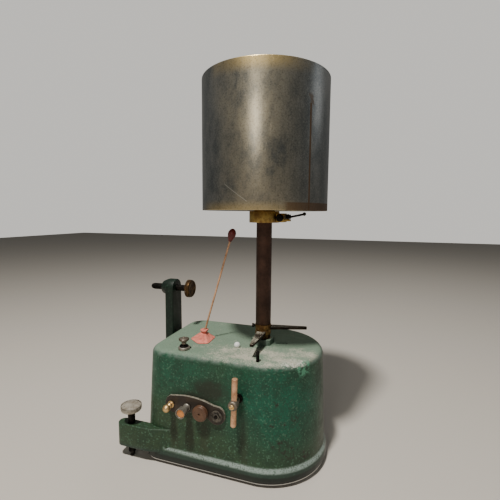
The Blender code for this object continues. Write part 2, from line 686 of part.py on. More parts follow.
def make_strikers(spindle):
    rows = (("upper", UPPER_ARM_ANGLE, 159.3, 165.7, 159.6, 162.8, 188),
            ("lower", LOWER_ARM_ANGLE, 153.0, 159.0, 154.6, 157.9, 100))
    for name, angle, low, high, arm_low, arm_high, screw_angle in rows:
        joint = empty(name + "_striker_axis", (0, 0, 0), spindle)
        collar = ring(SPINDLE_RADIUS + GAP, STRIKER_COLLAR, low, high)
        turned(name + "_striker_collar", collar, (0, 0, 0), BRASS, joint)
        arm = flat_shape(name + "_striker_arm", arm_outline(angle), arm_high - arm_low)
        settle(arm, (0, 0, (arm_low + arm_high) / 2), DARK_STEEL, joint)
        start = STRIKER_COLLAR + GAP
        knurl = [(0, start + 3.6), (2.1, start + 3.6), (2.6, start + 3.1), (2.6, start + 0.9)]
        knurl += [(1.4, start + 0.5), (1.4, start), (0, start)]
        screw = turned_shape(name + "_striker_screw", knurl, 16)
        height = (low + high) / 2
        settle(screw, (0, 0, height), DARK_STEEL, joint,
               (0, math.pi / 2, math.radians(screw_angle)))


def make_spindle():
    spindle = empty("spindle_axis", (0, 0, 0), ROOT)
    shaft = [(0, SPINDLE_TOP), (SPINDLE_RADIUS - 0.6, SPINDLE_TOP)]
    shaft += [(SPINDLE_RADIUS, SPINDLE_TOP - 0.6), (SPINDLE_RADIUS, 11.5), (4.5, 9.5), (0, 9.5)]
    turned("spindle", shaft, (0, 0, 0), STEEL, spindle)
    bore = SPINDLE_RADIUS + GAP
    carrier = ring(bore, CARRIER_RADIUS, CARRIER_BOTTOM, CARRIER_TOP)
    turned("carrier_tube", carrier, (0, 0, 0), RUSTY, spindle)
    turned("thrust_washer", ring(bore, 9.2, 148.4, 152.6), (0, 0, 0), BRONZE, spindle)
    turned("brake_collar", ring(bore, BRAKE_COLLAR, 92.0, 108.0), (0, 0, 0), STEEL, spindle)
    bush = ring(bore + 0.1, 10.0, 130.0, 147.3)
    turned("upper_bearing", bush, (0, 0, 0), BRASS)
    return spindle


def make_bearings():
    seat = PLATE_BOTTOM + PLATE_THICKNESS + GAP
    bore = SPINDLE_RADIUS + GAP
    footstep = [(13.0, 12.0), (16.0, 10.0), (16.0, seat), (0, seat), (0, 9.2), (bore, 9.2)]
    footstep += [(bore, 22.0), (13.0, 22.0), (13.0, 12.0)]
    turned("footstep_bearing", footstep, (0, 0, 0), BRASS)
    small = [(6.2, 16.0), (6.2, seat), (0, seat), (0, 9.2), (3.3, 9.2), (3.3, 16.0), (6.2, 16.0)]
    turned("lay_bearing", small, (LAY_X, 0, 0), BRASS, sides=20)


def make_drum(spindle):
    joint = empty("drum_axis", (0, 0, 0), spindle)
    rim = DRUM_RADIUS - DRUM_WALL
    turned("drum_shell", ring(rim, DRUM_RADIUS, DRUM_BOTTOM, DRUM_TOP), (0, 0, 0), NICKEL,
           joint, sides=64)
    low = DRUM_BOTTOM + DRUM_RECESS
    high = DRUM_TOP - DRUM_RECESS
    bore = CARRIER_RADIUS + GAP
    lower = ring(bore, rim - GAP, low, low + DISC_THICKNESS)
    upper = ring(bore, rim - GAP, high - DISC_THICKNESS, high)
    turned("drum_disc_lower", lower, (0, 0, 0), BRASS, joint, sides=32)
    turned("drum_disc_upper", upper, (0, 0, 0), BRASS, joint, sides=32)
    return joint


def make_hub(drum):
    bore = CARRIER_RADIUS + GAP
    top = DRUM_BOTTOM + DRUM_RECESS - GAP
    profile = [(13.0, top), (13.0, 308.4), (HUB_RADIUS - 0.6, 308.4), (HUB_RADIUS, 307.8)]
    profile += [(HUB_RADIUS, HUB_BOTTOM + 0.6), (HUB_RADIUS - 0.6, HUB_BOTTOM)]
    profile += [(bore, HUB_BOTTOM), (bore, top), (13.0, top)]
    hub = turned("drum_hub", profile, (0, 0, 0), BRASS, drum)

    def clamp(bm):
        block(bm, (14, -8, 295.2), (27, 8, 306.0))

    def tongue(bm):
        block(bm, (25.5, -7.0, 296.4), (34.0, -1.8, 299.0))

    lug = cutter(shape("lug", clamp), (0, 0, 0))
    foot = cutter(shape("tongue", tongue), (0, 0, 0))
    carve(hub, [lug, foot], "UNION")
    post = round_cutter(1.3, 298.5, 305.2, (*CLAMP_POST, 0), sides=12)
    carve(hub, [post], "UNION")
    slit = box_cutter((6, -0.7, 290), (45, 0.7, 308))
    bore_hole = round_cutter(2.4, -20, 20, (22, 0, 300.5), "-Y", sides=12)
    carve(hub, [slit, bore_hole])


def make_drum_clamp(drum):
    joint = empty("clamp_screw_axis", (22, 0, 300.5), drum)
    screw = [(0, 13.0), (3.8, 13.0), (4.5, 12.3), (4.5, 8.6), (2.0, 8.6), (2.0, -7.0), (0, -7.0)]
    turned("drum_clamp_screw", screw, (22, 0, 300.5), BLACK, joint, "-Y", 20)
    joint = empty("clamp_lever_axis", (*CLAMP_POST, 0), drum)
    eye = turned("clamp_lever", ring(1.6, 3.4, 299.4, 304.6), (*CLAMP_POST, 0), BLACK, joint,
                 sides=16)
    route = [(33.2, -4.3, 301.4), (40.0, -3.7, 302.6), (49.4, -3.0, 305.0)]
    rod = meshed(tube("rod", route, 1.4, None, joint))
    ball = shape("ball", lambda bm: bmesh.ops.create_uvsphere(
        bm, u_segments=12, v_segments=8, radius=2.2 * MM))
    handle = cutter(ball, (50.2, -3.0, 305.3))
    hide_as_cutter(rod)
    carve(eye, [rod, handle], "UNION")


def hide_as_cutter(item):
    for collection in list(item.users_collection):
        collection.objects.unlink(item)
    CUTTERS.objects.link(item)
    item.hide_render = True
    item.display_type = "WIRE"


def gear_outline(teeth, tooth_on_x):
    """A spur gear with straight-flanked teeth and open backlash."""
    pitch = MODULE * teeth / 2
    step = 2 * math.pi / teeth
    tip = pitch + 0.8 * MODULE
    root = pitch - 1.1 * MODULE
    start = 0.0 if tooth_on_x else step / 2
    outline = []
    for tooth in range(teeth):
        middle = start + tooth * step
        for radius, part in ((root, -0.27), (tip, -0.1), (tip, 0.1), (root, 0.27)):
            angle = middle + part * step
            outline.append((radius * math.cos(angle), radius * math.sin(angle)))
    return outline


def gear(name, teeth, bore, low, high, x, parent):
    outline = gear_outline(teeth, True)
    wheel = flat_shape(name, outline, high - low, [(0, 0, bore)])
    return settle(wheel, (x, 0, (low + high) / 2), BRASS, parent)


def pinion_shaft(name, radius, shaft, teeth_span, x, parent):
    """A shaft with its pinion cut in one piece; a tooth gap faces the wheel."""
    arbor = turned(name, solid(radius, *shaft), (x, 0, 0), STEEL, parent, sides=16)
    low, high = teeth_span
    teeth = flat_shape("teeth", gear_outline(PINION_TEETH, False), high - low)
    teeth = meshed(cutter(teeth, (x, 0, (low + high) / 2)))
    return carve(arbor, [teeth], "UNION")


def make_train(spindle):
    lay = empty("lay_axis", (LAY_X, 0, 0), ROOT)
    motor = empty("motor_axis", (MOTOR_X, 0, 0), ROOT)
    gear("spindle_wheel", SPINDLE_TEETH, SPINDLE_RADIUS + GAP, 66, 71, 0, spindle)
    gear("lay_wheel", LAY_TEETH, 3 + GAP, 86, 90, LAY_X, lay)
    pinion_shaft("lay_shaft", 3.0, (9.5, 104.5), (64, 73), LAY_X, lay)
    pinion_shaft("motor_shaft", 2.5, (76, 96), (85, 92), MOTOR_X, motor)


def make_motor():
    seat = PLATE_BOTTOM + PLATE_THICKNESS + GAP
    can = [(9.0, MOTOR_TOP), (9.0, 79.0), (MOTOR_RADIUS - 2, 79.0), (MOTOR_RADIUS, 77.0)]
    can += [(MOTOR_RADIUS, 12.0), (22.0, 12.0), (22.0, seat), (0, seat), (0, 74.0)]
    can += [(2.8, 74.0), (2.8, MOTOR_TOP), (9.0, MOTOR_TOP)]
    turned("motor_body", can, (MOTOR_X, 0, 0), BLACK, sides=28)


def make_gear_frame():
    seat = PLATE_BOTTOM + PLATE_THICKNESS + GAP
    reach = PILLAR_Y + 7
    corners = [(-9, -reach), (9, -reach), (9, reach), (-9, reach)]
    plate = flat_shape("gear_frame", corners, 3.0, [(0, 0, 3 + GAP)])
    frame = meshed(settle(plate, (LAY_X, 0, GEAR_PLATE_Z + 1.5), STEEL, ROOT))
    pillars = [round_cutter(3.5, seat, GEAR_PLATE_Z + 5, (LAY_X, y, 0), sides=16)
               for y in (-PILLAR_Y, PILLAR_Y)]
    carve(frame, pillars, "UNION")


def build():
    make_case()
    make_base()
    make_levelling_screw()
    make_side_arm()
    make_side_fasteners()
    make_terminal_plate()
    make_terminal_studs()
    make_terminal_knobs()
    make_top_terminal()
    make_brake()
    make_lever()
    make_boot()
    make_lever_bracket()
    make_contacts()
    spindle = make_spindle()
    make_bearings()
    make_strikers(spindle)
    drum = make_drum(spindle)
    make_hub(drum)
    make_drum_clamp(drum)
    make_train(spindle)
    make_motor()
    make_gear_frame()
    bpy.context.view_layer.update()


build()
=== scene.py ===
# %% [markdown]
# A kymograph in cells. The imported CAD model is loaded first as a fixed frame: the places and main
# sizes below are read from it, and finer shapes are drawn to fit them. What shows is rebuilt with
# finer meshes and worn finishes, one piece at a time, and each piece rides on its CAD body.

# %% Load the frame
import json
import math

import bmesh
import bpy
from mathutils import Matrix, Vector


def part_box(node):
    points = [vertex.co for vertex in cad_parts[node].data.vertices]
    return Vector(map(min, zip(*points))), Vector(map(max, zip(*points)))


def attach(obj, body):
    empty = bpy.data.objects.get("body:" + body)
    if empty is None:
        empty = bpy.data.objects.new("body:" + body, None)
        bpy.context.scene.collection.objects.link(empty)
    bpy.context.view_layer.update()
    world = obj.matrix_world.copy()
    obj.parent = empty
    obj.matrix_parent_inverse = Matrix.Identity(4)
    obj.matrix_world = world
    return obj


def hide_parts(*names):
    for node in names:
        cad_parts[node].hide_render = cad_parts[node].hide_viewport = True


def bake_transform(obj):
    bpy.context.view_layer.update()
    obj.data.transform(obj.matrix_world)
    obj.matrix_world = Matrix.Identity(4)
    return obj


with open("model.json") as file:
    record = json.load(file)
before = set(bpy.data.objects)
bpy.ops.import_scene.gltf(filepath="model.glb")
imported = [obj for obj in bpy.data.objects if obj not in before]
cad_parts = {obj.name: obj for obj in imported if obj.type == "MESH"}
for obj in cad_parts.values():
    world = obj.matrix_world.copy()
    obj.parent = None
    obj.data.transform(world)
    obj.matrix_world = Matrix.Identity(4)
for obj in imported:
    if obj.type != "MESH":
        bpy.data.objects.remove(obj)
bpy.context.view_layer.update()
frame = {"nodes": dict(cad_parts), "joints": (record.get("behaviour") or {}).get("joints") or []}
MM = 0.001
JOINTS = {joint["name"]: joint for joint in frame["joints"]}
SPINDLE = Vector(JOINTS["spindle_spin"]["pos_m"])

# %% [markdown]
# All pieces are laid out in millimetres round the spindle, as a maker's drawing would be: the
# spindle stands at X = 0, Y = 0 and the bench is Z = 0. `corner` reads a CAD node's box in those
# units, so a finer piece can take its place from the plain one.


# %% Places
def corner(node, side):
    """The low (0) or high (1) corner of a node's box, in millimetres from the spindle's foot."""
    point = Vector(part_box(node)[side]) - Vector((SPINDLE.x, SPINDLE.y, 0))
    return point / MM


def middle(node):
    return (corner(node, 0) + corner(node, 1)) / 2


ORIGIN = Matrix.Translation((SPINDLE.x, SPINDLE.y, 0))
FACING = {
    "Z": Matrix.Identity(4),
    "-Y": Matrix.Rotation(math.pi / 2, 4, "X"),
    "-X": Matrix.Rotation(-math.pi / 2, 4, "Y"),
}


def placed(place, axis="Z", turn=0.0):
    """The matrix that moves a piece made round its own Z axis to its place on the instrument."""
    move = Matrix.Translation(Vector(place) * MM)
    return ORIGIN @ move @ FACING[axis] @ Matrix.Rotation(turn, 4, "Z")


# %% [markdown]
# The camera stands a little right of the front and looks slightly down, from just under half a
# metre away. Its lens is a wide one, so the drum's top leans out a little.

# %% Camera
CAMERA_PLACE = Vector((119.7, -423.1, 304.9))
CAMERA_AIM = Vector((-0.3089, 0.9457, -0.1017)).normalized()
CAMERA_ROLL = 0.00699
CAMERA_LENS = 25.34


def make_camera():
    camera = bpy.data.objects.new("camera", bpy.data.cameras.new("camera"))
    camera.data.lens = CAMERA_LENS
    camera.data.sensor_width = 36.0
    camera.data.clip_start = 0.01
    right = CAMERA_AIM.cross(Vector((0, 0, 1))).normalized()
    up = right.cross(CAMERA_AIM)
    rolled_right = right * math.cos(CAMERA_ROLL) + up * math.sin(CAMERA_ROLL)
    rolled_up = up * math.cos(CAMERA_ROLL) - right * math.sin(CAMERA_ROLL)
    turn = Matrix((rolled_right, rolled_up, -CAMERA_AIM)).transposed().to_4x4()
    camera.matrix_world = ORIGIN @ Matrix.Translation(CAMERA_PLACE * MM) @ turn
    bpy.context.scene.collection.objects.link(camera)
    bpy.context.scene.camera = camera


make_camera()

# %% [markdown]
# The studio is a pale floor and one small bright lamp, high up in front and a little left: a
# small lamp gives the crisp shadows that knobs and handles throw down the wall. A soft box in
# front lights the drum's middle, and weak lamps at the right and behind fill the shadows. The
# world looks pale to the camera, is darker in reflections, so that polished metal keeps dark
# sides, and darker still as a light, so that shadows stay deep.


# %% Floor and lights
def make_floor():
    mesh = bpy.data.meshes.new("floor")
    half = 4.0
    mesh.from_pydata([(-half, -half, 0), (half, -half, 0), (half, half, 0), (-half, half, 0)],
                     [], [(0, 1, 2, 3)])
    floor = bpy.data.objects.new("floor", mesh)
    bpy.context.scene.collection.objects.link(floor)
    finish = bpy.data.materials.new("pale_floor")
    finish.use_nodes = True
    shader = finish.node_tree.nodes["Principled BSDF"]
    shader.inputs["Base Color"].default_value = (0.62, 0.58, 0.52, 1)
    shader.inputs["Roughness"].default_value = 0.75
    mesh.materials.append(finish)


def make_light(name, place, target, size, power, colour):
    lamp = bpy.data.lights.new(name, "AREA")
    lamp.shape = "DISK"
    lamp.size = size
    lamp.energy = power
    lamp.color = colour
    light = bpy.data.objects.new(name, lamp)
    light.location = place
    light.rotation_euler = (Vector(target) - Vector(place)).to_track_quat("-Z", "Y").to_euler()
    bpy.context.scene.collection.objects.link(light)


def make_world():
    world = bpy.data.worlds.new("studio")
    world.use_nodes = True
    bpy.context.scene.world = world
    tree = world.node_tree
    back = tree.nodes["Background"]
    seen = tree.nodes.new("ShaderNodeLightPath")
    colour = tree.nodes.new("ShaderNodeRGB").outputs[0]
    colour.default_value = (0.075, 0.074, 0.07, 1)
    for ray, brighter in (("Is Glossy Ray", (0.20, 0.197, 0.188, 1)),
                          ("Is Camera Ray", (0.72, 0.70, 0.66, 1))):
        pick = tree.nodes.new("ShaderNodeMix")
        pick.data_type = "RGBA"
        pick.inputs["B"].default_value = brighter
        tree.links.new(colour, pick.inputs["A"])
        tree.links.new(seen.outputs[ray], pick.inputs["Factor"])
        colour = pick.outputs["Result"]
    tree.links.new(colour, back.inputs["Color"])


make_floor()
make_world()
make_light("key", (-0.08, -0.66, 1.67), (0, 0, 0.2), 0.15, 34, (1.0, 0.96, 0.9))
make_light("front", (0.02, -1.7, 0.88), (0, 0, 0.3), 0.30, 4, (1.0, 0.93, 0.84))
make_light("right", (1.2, 0.5, 0.9), (0, 0, 0.2), 0.5, 0.7, (0.92, 0.95, 1.0))
make_light("back", (0.3, 1.3, 2.0), (0, 0, 0.3), 0.8, 4, (1.0, 0.97, 0.92))

# %% [markdown]
# Finishes are built from shader nodes. A few small helpers keep the node code short: `add` makes
# a node and fills its sockets, and the rest name the sums, mixes and masks that come up often. A
# value may be a number, a colour or another node's output.


# %% Node helpers
def add(tree, kind, inputs=None, **settings):
    made = tree.nodes.new(kind)
    for name, value in settings.items():
        setattr(made, name, value)
    for name, value in (inputs or {}).items():
        if isinstance(value, bpy.types.NodeSocket):
            tree.links.new(value, made.inputs[name])
        else:
            made.inputs[name].default_value = value
    return made


def maths(tree, operation, first, second=0.0):
    return add(tree, "ShaderNodeMath", {0: first, 1: second}, operation=operation).outputs[0]


def times(tree, first, second):
    return maths(tree, "MULTIPLY", first, second)


def plus(tree, first, second):
    return maths(tree, "ADD", first, second)


def minus(tree, first, second):
    return maths(tree, "SUBTRACT", first, second)


def blend(tree, amount, first, second):
    """A colour mix: the first colour where amount is 0, the second where it is 1."""
    made = add(tree, "ShaderNodeMix", {"Factor": amount}, data_type="RGBA")
    for socket, value in ((made.inputs[6], first), (made.inputs[7], second)):
        if isinstance(value, bpy.types.NodeSocket):
            tree.links.new(value, socket)
        else:
            socket.default_value = (*value, 1.0)
    return made.outputs[2]


def step(tree, value, low, high):
    """A soft threshold: 0 at low, 1 at high, smooth between them. Low may exceed high."""
    limits = {"Value": value, "From Min": low, "From Max": high}
    return add(tree, "ShaderNodeMapRange", limits, interpolation_type="SMOOTHSTEP").outputs[0]


def noise(tree, place, scale, detail=4.0, rough=0.55):
    values = {"Vector": place, "Scale": scale, "Detail": detail, "Roughness": rough}
    return add(tree, "ShaderNodeTexNoise", values).outputs["Fac"]


def here(tree):
    return add(tree, "ShaderNodeTexCoord").outputs["Object"]


def facing_up(tree):
    """1 on a face that looks straight up, and 0 on a wall or an underside."""
    normal = add(tree, "ShaderNodeNewGeometry").outputs["Normal"]
    return add(tree, "ShaderNodeSeparateXYZ", {0: normal}).outputs["Z"]


def spread(tree, place, centre, reach):
    """Distance from a centre, in lengths of the reach along each axis: 1 on the ellipsoid."""
    away = add(tree, "ShaderNodeVectorMath", {0: place, 1: centre}, operation="SUBTRACT")
    scaled = add(tree, "ShaderNodeVectorMath", {0: away.outputs[0], 1: reach}, operation="DIVIDE")
    return add(tree, "ShaderNodeVectorMath", {0: scaled.outputs[0]}, operation="LENGTH").outputs[1]


# %% [markdown]
# Effects that several finishes share are node groups, each built once: mottled tarnish, settled
# dust, fine scratches and the pebbled skin of a painted casting.


# %% Shared effects
def group(name, inputs, outputs):
    tree = bpy.data.node_groups.new(name, "ShaderNodeTree")
    for label, kind, value in inputs:
        socket = tree.interface.new_socket(label, in_out="INPUT", socket_type=kind)
        socket.default_value = value
    for label, kind in outputs:
        tree.interface.new_socket(label, in_out="OUTPUT", socket_type=kind)
    return tree, add(tree, "NodeGroupInput").outputs, add(tree, "NodeGroupOutput").inputs


def make_tarnish():
    tree, given, made = group("Tarnish", [
        ("Clean", "NodeSocketColor", (0.5, 0.5, 0.5, 1)),
        ("Stained", "NodeSocketColor", (0.1, 0.1, 0.1, 1)),
        ("Scale", "NodeSocketFloat", 60.0),
        ("Amount", "NodeSocketFloat", 0.5)],
        [("Color", "NodeSocketColor"), ("Mask", "NodeSocketFloat")])
    place = here(tree)
    broad = noise(tree, place, given["Scale"], 5.0, 0.6)
    fine = noise(tree, place, times(tree, given["Scale"], 7.0), 3.0, 0.6)
    mottle = plus(tree, times(tree, broad, 0.75),
                   times(tree, fine, 0.25))
    edge = minus(tree, 0.85, times(tree, given["Amount"], 0.7))
    mask = step(tree, mottle, minus(tree, edge, 0.16), plus(tree, edge, 0.16))
    tree.links.new(blend(tree, mask, given["Clean"], given["Stained"]), made["Color"])
    tree.links.new(mask, made["Mask"])
    return tree


def make_dust():
    tree, given, made = group("Dust", [
        ("Facing", "NodeSocketFloat", 0.0),
        ("Amount", "NodeSocketFloat", 0.5),
        ("Scale", "NodeSocketFloat", 900.0)],
        [("Mask", "NodeSocketFloat")])
    place = here(tree)
    specks = noise(tree, place, given["Scale"], 3.0, 0.7)
    drift = noise(tree, place, times(tree, given["Scale"], 0.05), 3.0, 0.5)
    limit = minus(tree, 0.78, times(tree, given["Amount"], 0.42))
    both = plus(tree, times(tree, specks, 0.62),
                 times(tree, drift, 0.38))
    settled = step(tree, both, limit, plus(tree, limit, 0.12))
    upward = step(tree, given["Facing"], 0.35, 0.9)
    tree.links.new(times(tree, settled, upward), made["Mask"])
    return tree


def make_scratches():
    tree, given, made = group("Scratches", [
        ("Stretch", "NodeSocketVector", (400.0, 400.0, 20.0)),
        ("Amount", "NodeSocketFloat", 0.5)],
        [("Mask", "NodeSocketFloat")])
    stretched = add(tree, "ShaderNodeVectorMath", {0: here(tree), 1: given["Stretch"]},
                    operation="MULTIPLY").outputs[0]
    lines = noise(tree, stretched, 1.0, 4.0, 0.6)
    limit = minus(tree, 0.86, times(tree, given["Amount"], 0.3))
    tree.links.new(step(tree, lines, limit, plus(tree, limit, 0.08)), made["Mask"])
    return tree


def make_pebbles():
    tree, given, made = group("Pebbled paint", [
        ("Scale", "NodeSocketFloat", 700.0)],
        [("Height", "NodeSocketFloat"), ("Speck", "NodeSocketFloat")])
    place = here(tree)
    cells = add(tree, "ShaderNodeTexVoronoi", {"Vector": place, "Scale": given["Scale"]})
    lumps = noise(tree, place, times(tree, given["Scale"], 0.16), 4.0, 0.6)
    grit = noise(tree, place, times(tree, given["Scale"], 0.65), 2.0, 0.5)
    height = plus(tree, times(tree, cells.outputs["Distance"], 0.35),
                   plus(tree, times(tree, lumps, 1.2),
                         times(tree, grit, 0.35)))
    tree.links.new(height, made["Height"])
    tree.links.new(step(tree, grit, 0.57, 0.68), made["Speck"])
    return tree


TARNISH = make_tarnish()
DUST = make_dust()
SCRATCHES = make_scratches()
PEBBLES = make_pebbles()


def effect(tree, which, **inputs):
    made = tree.nodes.new("ShaderNodeGroup")
    made.node_tree = which
    for name, value in inputs.items():
        socket = made.inputs[name.capitalize()]
        if isinstance(value, bpy.types.NodeSocket):
            tree.links.new(value, socket)
        elif isinstance(value, tuple) and socket.type == "RGBA":
            socket.default_value = (*value, 1.0)
        else:
            socket.default_value = value
    return made.outputs


def new_finish(name):
    finish = bpy.data.materials.new(name)
    finish.use_nodes = True
    tree = finish.node_tree
    return finish, tree, tree.nodes["Principled BSDF"].inputs


def bump(tree, inputs, height, strength, distance):
    made = add(tree, "ShaderNodeBump", {"Height": height, "Strength": strength,
                                        "Distance": distance})
    tree.links.new(made.outputs["Normal"], inputs["Normal"])


DUST_COLOUR = (0.40, 0.37, 0.29)


# %% [markdown]
# Most small fittings are old metal: a clean colour, a stain that mottles it, fine turning marks,
# and dust on whatever faces up. One function makes them all, with each metal's own values.


# %% Metals
def metal(name, clean, stained, rough, amount=0.5, scale=90.0, dust=0.25, metallic=1.0,
          grit=0.00012):
    finish, tree, inputs = new_finish(name)
    tarnish = effect(tree, TARNISH, clean=clean, stained=stained, scale=scale, amount=amount)
    marks = effect(tree, SCRATCHES, stretch=(500.0, 500.0, 900.0), amount=0.5)["Mask"]
    dusty = effect(tree, DUST, facing=facing_up(tree), amount=dust, scale=1100.0)["Mask"]
    colour = blend(tree, times(tree, marks, 0.35), tarnish["Color"], clean)
    tree.links.new(blend(tree, dusty, colour, DUST_COLOUR), inputs["Base Color"])
    worn = times(tree, tarnish["Mask"], 0.22)
    rough_now = plus(tree, plus(tree, worn, rough), times(tree, dusty, 0.4))
    tree.links.new(rough_now, inputs["Roughness"])
    shine = times(tree, minus(tree, 1.0, dusty), metallic)
    tree.links.new(shine, inputs["Metallic"])
    height = plus(tree, marks, noise(tree, here(tree), 1500.0, 3.0, 0.6))
    bump(tree, inputs, height, 0.35, grit)
    return finish


BRASS = metal("dull_brass", (0.46, 0.28, 0.10), (0.14, 0.075, 0.03), 0.3, 0.62, 120.0)
BRIGHT_BRASS = metal("handled_brass", (0.80, 0.56, 0.27), (0.34, 0.20, 0.08), 0.4, 0.4, 160.0, 0.1)
BRONZE = metal("brown_bronze", (0.16, 0.095, 0.04), (0.045, 0.026, 0.014), 0.34, 0.6, 150.0, 0.3)
COPPER = metal("copper_tan", (0.78, 0.46, 0.27), (0.42, 0.21, 0.11), 0.42, 0.45, 90.0, 0.1, 0.45)
COPPER_FACE = metal("copper_face", (0.80, 0.33, 0.10), (0.42, 0.15, 0.05), 0.4, 0.45, 200.0, 0.0, 0.4)
DARK_STEEL = metal("dark_steel", (0.10, 0.075, 0.05), (0.022, 0.017, 0.013), 0.38, 0.6, 110.0, 0.5)
BLACK_STEEL = metal("black_steel", (0.05, 0.045, 0.04), (0.012, 0.011, 0.01), 0.4, 0.6, 110.0, 0.15)
BRIGHT_STEEL = metal("turned_steel", (0.55, 0.55, 0.54), (0.22, 0.20, 0.17), 0.25, 0.3, 90.0, 0.1)
RUSTY = metal("rusty_tube", (0.085, 0.040, 0.026), (0.040, 0.019, 0.013), 0.42, 0.5, 45.0, 0.2, 0.55)
GREY_STEEL = metal("worn_grey_steel", (0.40, 0.38, 0.33), (0.16, 0.13, 0.10), 0.4, 0.45, 160.0,
                   0.2, 0.7)
HEAD_STEEL = metal("thumb_head_steel", (0.56, 0.52, 0.44), (0.26, 0.22, 0.17), 0.5, 0.5, 160.0,
                   0.35, 0.45)
WARM_STEEL = metal("warm_grey_steel", (0.30, 0.26, 0.21), (0.12, 0.095, 0.07), 0.4, 0.5, 170.0, 0.2,
                   0.75)
POINTER_STEEL = metal("pointer_steel", (0.075, 0.055, 0.038), (0.022, 0.017, 0.013), 0.45, 0.6,
                      110.0, 0.75)
NUT_STEEL = metal("nut_steel", (0.20, 0.185, 0.16), (0.05, 0.045, 0.04), 0.4, 0.5, 150.0)
HUB_BRASS = metal("hub_brass", (0.56, 0.40, 0.12), (0.24, 0.14, 0.05), 0.34, 0.5, 110.0, 0.1)


# %% [markdown]
# Rubber, ebonite, bakelite and plastics share a second function: no metal, a gentler mottle and
# their own gloss.


# %% Plastics and rubber
def plastic(name, clean, stained, rough, amount=0.45, scale=110.0, dust=0.2, grit=0.0001):
    finish, tree, inputs = new_finish(name)
    tarnish = effect(tree, TARNISH, clean=clean, stained=stained, scale=scale, amount=amount)
    dusty = effect(tree, DUST, facing=facing_up(tree), amount=dust, scale=1300.0)["Mask"]
    tree.links.new(blend(tree, dusty, tarnish["Color"], DUST_COLOUR), inputs["Base Color"])
    rough_now = plus(tree, times(tree, tarnish["Mask"], 0.15), rough)
    tree.links.new(plus(tree, rough_now, times(tree, dusty, 0.3)),
                   inputs["Roughness"])
    bump(tree, inputs, noise(tree, here(tree), 1200.0, 4.0, 0.6), 0.4, grit)
    return finish


EBONITE = plastic("black_ebonite", (0.014, 0.011, 0.008), (0.034, 0.021, 0.011), 0.5, 0.5, 90.0)
RUBBED_AND_HIGHLIT_EDGE = plastic("rubbed_edge", (0.26, 0.24, 0.19), (0.06, 0.05, 0.035), 0.55, 0.45, 240.0, 0.3)
BAKELITE = plastic("brown_bakelite", (0.125, 0.060, 0.030), (0.075, 0.034, 0.018), 0.36, 0.5, 160.0)
RED_RUBBER = plastic("red_rubber", (0.84, 0.27, 0.20), (0.55, 0.14, 0.10), 0.78, 0.5, 170.0,
                     0.12, 0.0004)
RED_PLASTIC = plastic("dark_red_plastic", (0.20, 0.018, 0.016), (0.09, 0.010, 0.01), 0.38, 0.5,
                      140.0, 0.3)
WHITE = plastic("white_plastic", (0.86, 0.86, 0.84), (0.7, 0.68, 0.62), 0.16, 0.2, 200.0, 0.0,
                0.00003)
BLACK_RUBBER = plastic("black_rubber", (0.018, 0.018, 0.018), (0.035, 0.032, 0.028), 0.8)
BLACK_PAINT = plastic("black_paint", (0.016, 0.016, 0.015), (0.04, 0.035, 0.03), 0.42, 0.4, 70.0)


# %% [markdown]
# The case's paint is the main finish. It is a dark green crackle enamel over cast iron, bluer and
# cleaner in the middle of the front, olive where oil and handling have browned it, nearly black
# round the terminals with brown runs below them, chipped to pale primer at the front corner of
# the top, rubbed grey along the edges, with a painted highlight on the upper edge, and grey-beige
# with dust on top. Each of those is a mask made from distances on the case, broken up by noise.


# %% Green enamel
def world_spot(x, y, z):
    """A place on the instrument as a tuple in metres, for use inside a finish."""
    return tuple(ORIGIN @ (Vector((x, y, z)) * MM))


def smudge(tree, place, centre, reach, ragged, edge=0.35):
    """A soft stain round a centre, with an edge that noise makes ragged."""
    distance = spread(tree, place, world_spot(*centre), tuple(r * MM for r in reach))
    wobble = times(tree, minus(tree, ragged, 0.5), 1.5)
    return step(tree, plus(tree, distance, wobble), 1.0 + edge, 1.0 - edge)


def either(tree, masks):
    total = masks[0]
    for mask in masks[1:]:
        total = maths(tree, "MAXIMUM", total, mask)
    return total


def enamel_stains(tree, place, ragged):
    """An oily dark patch above the terminals, and faint runs down the wall below them."""
    plate = middle("terminal_plate")
    masks = [smudge(tree, place, (plate.x + 18, -70, plate.z + 22), (20, 40, 13), ragged, 0.5),
             smudge(tree, place, (plate.x + 2, -70, plate.z + 11), (26, 40, 8), ragged, 0.5)]
    runs = []
    for node in ("terminal_knob_1", "terminal_knob_2", "terminal_knob_3"):
        spot = middle(node)
        runs.append(smudge(tree, place, (spot.x + 2, -72, spot.z - 34), (5, 30, 26), ragged, 0.6))
    handle = middle("brake_handle")
    runs.append(smudge(tree, place, (handle.x + 7, -72, handle.z - 58), (5, 30, 34), ragged, 0.6))
    return either(tree, masks), either(tree, runs)


def enamel_marks(tree, place, ragged):
    """Rust-dark scabs on the right of the front wall, broken up so that none is round."""
    spots = [((52, -45, 78), (10, 14, 4)), ((42, -55, 72), (4, 9, 4)), ((46, -52, 40), (11, 16, 10)),
             ((33, -62, 96), (3, 8, 3)), ((24, -66, 108), (3, 8, 2)), ((30, -64, 72), (3, 8, 2)),
             ((58, -36, 68), (6, 10, 5)), ((62, -38, 30), (6, 12, 9)), ((36, -60, 50), (10, 12, 5))]
    fields = either(tree, [smudge(tree, place, spot, reach, ragged, 0.5) for spot, reach in spots])
    broken = step(tree, noise(tree, place, 190.0, 5.0, 0.7), 0.46, 0.60)
    return times(tree, fields, broken)


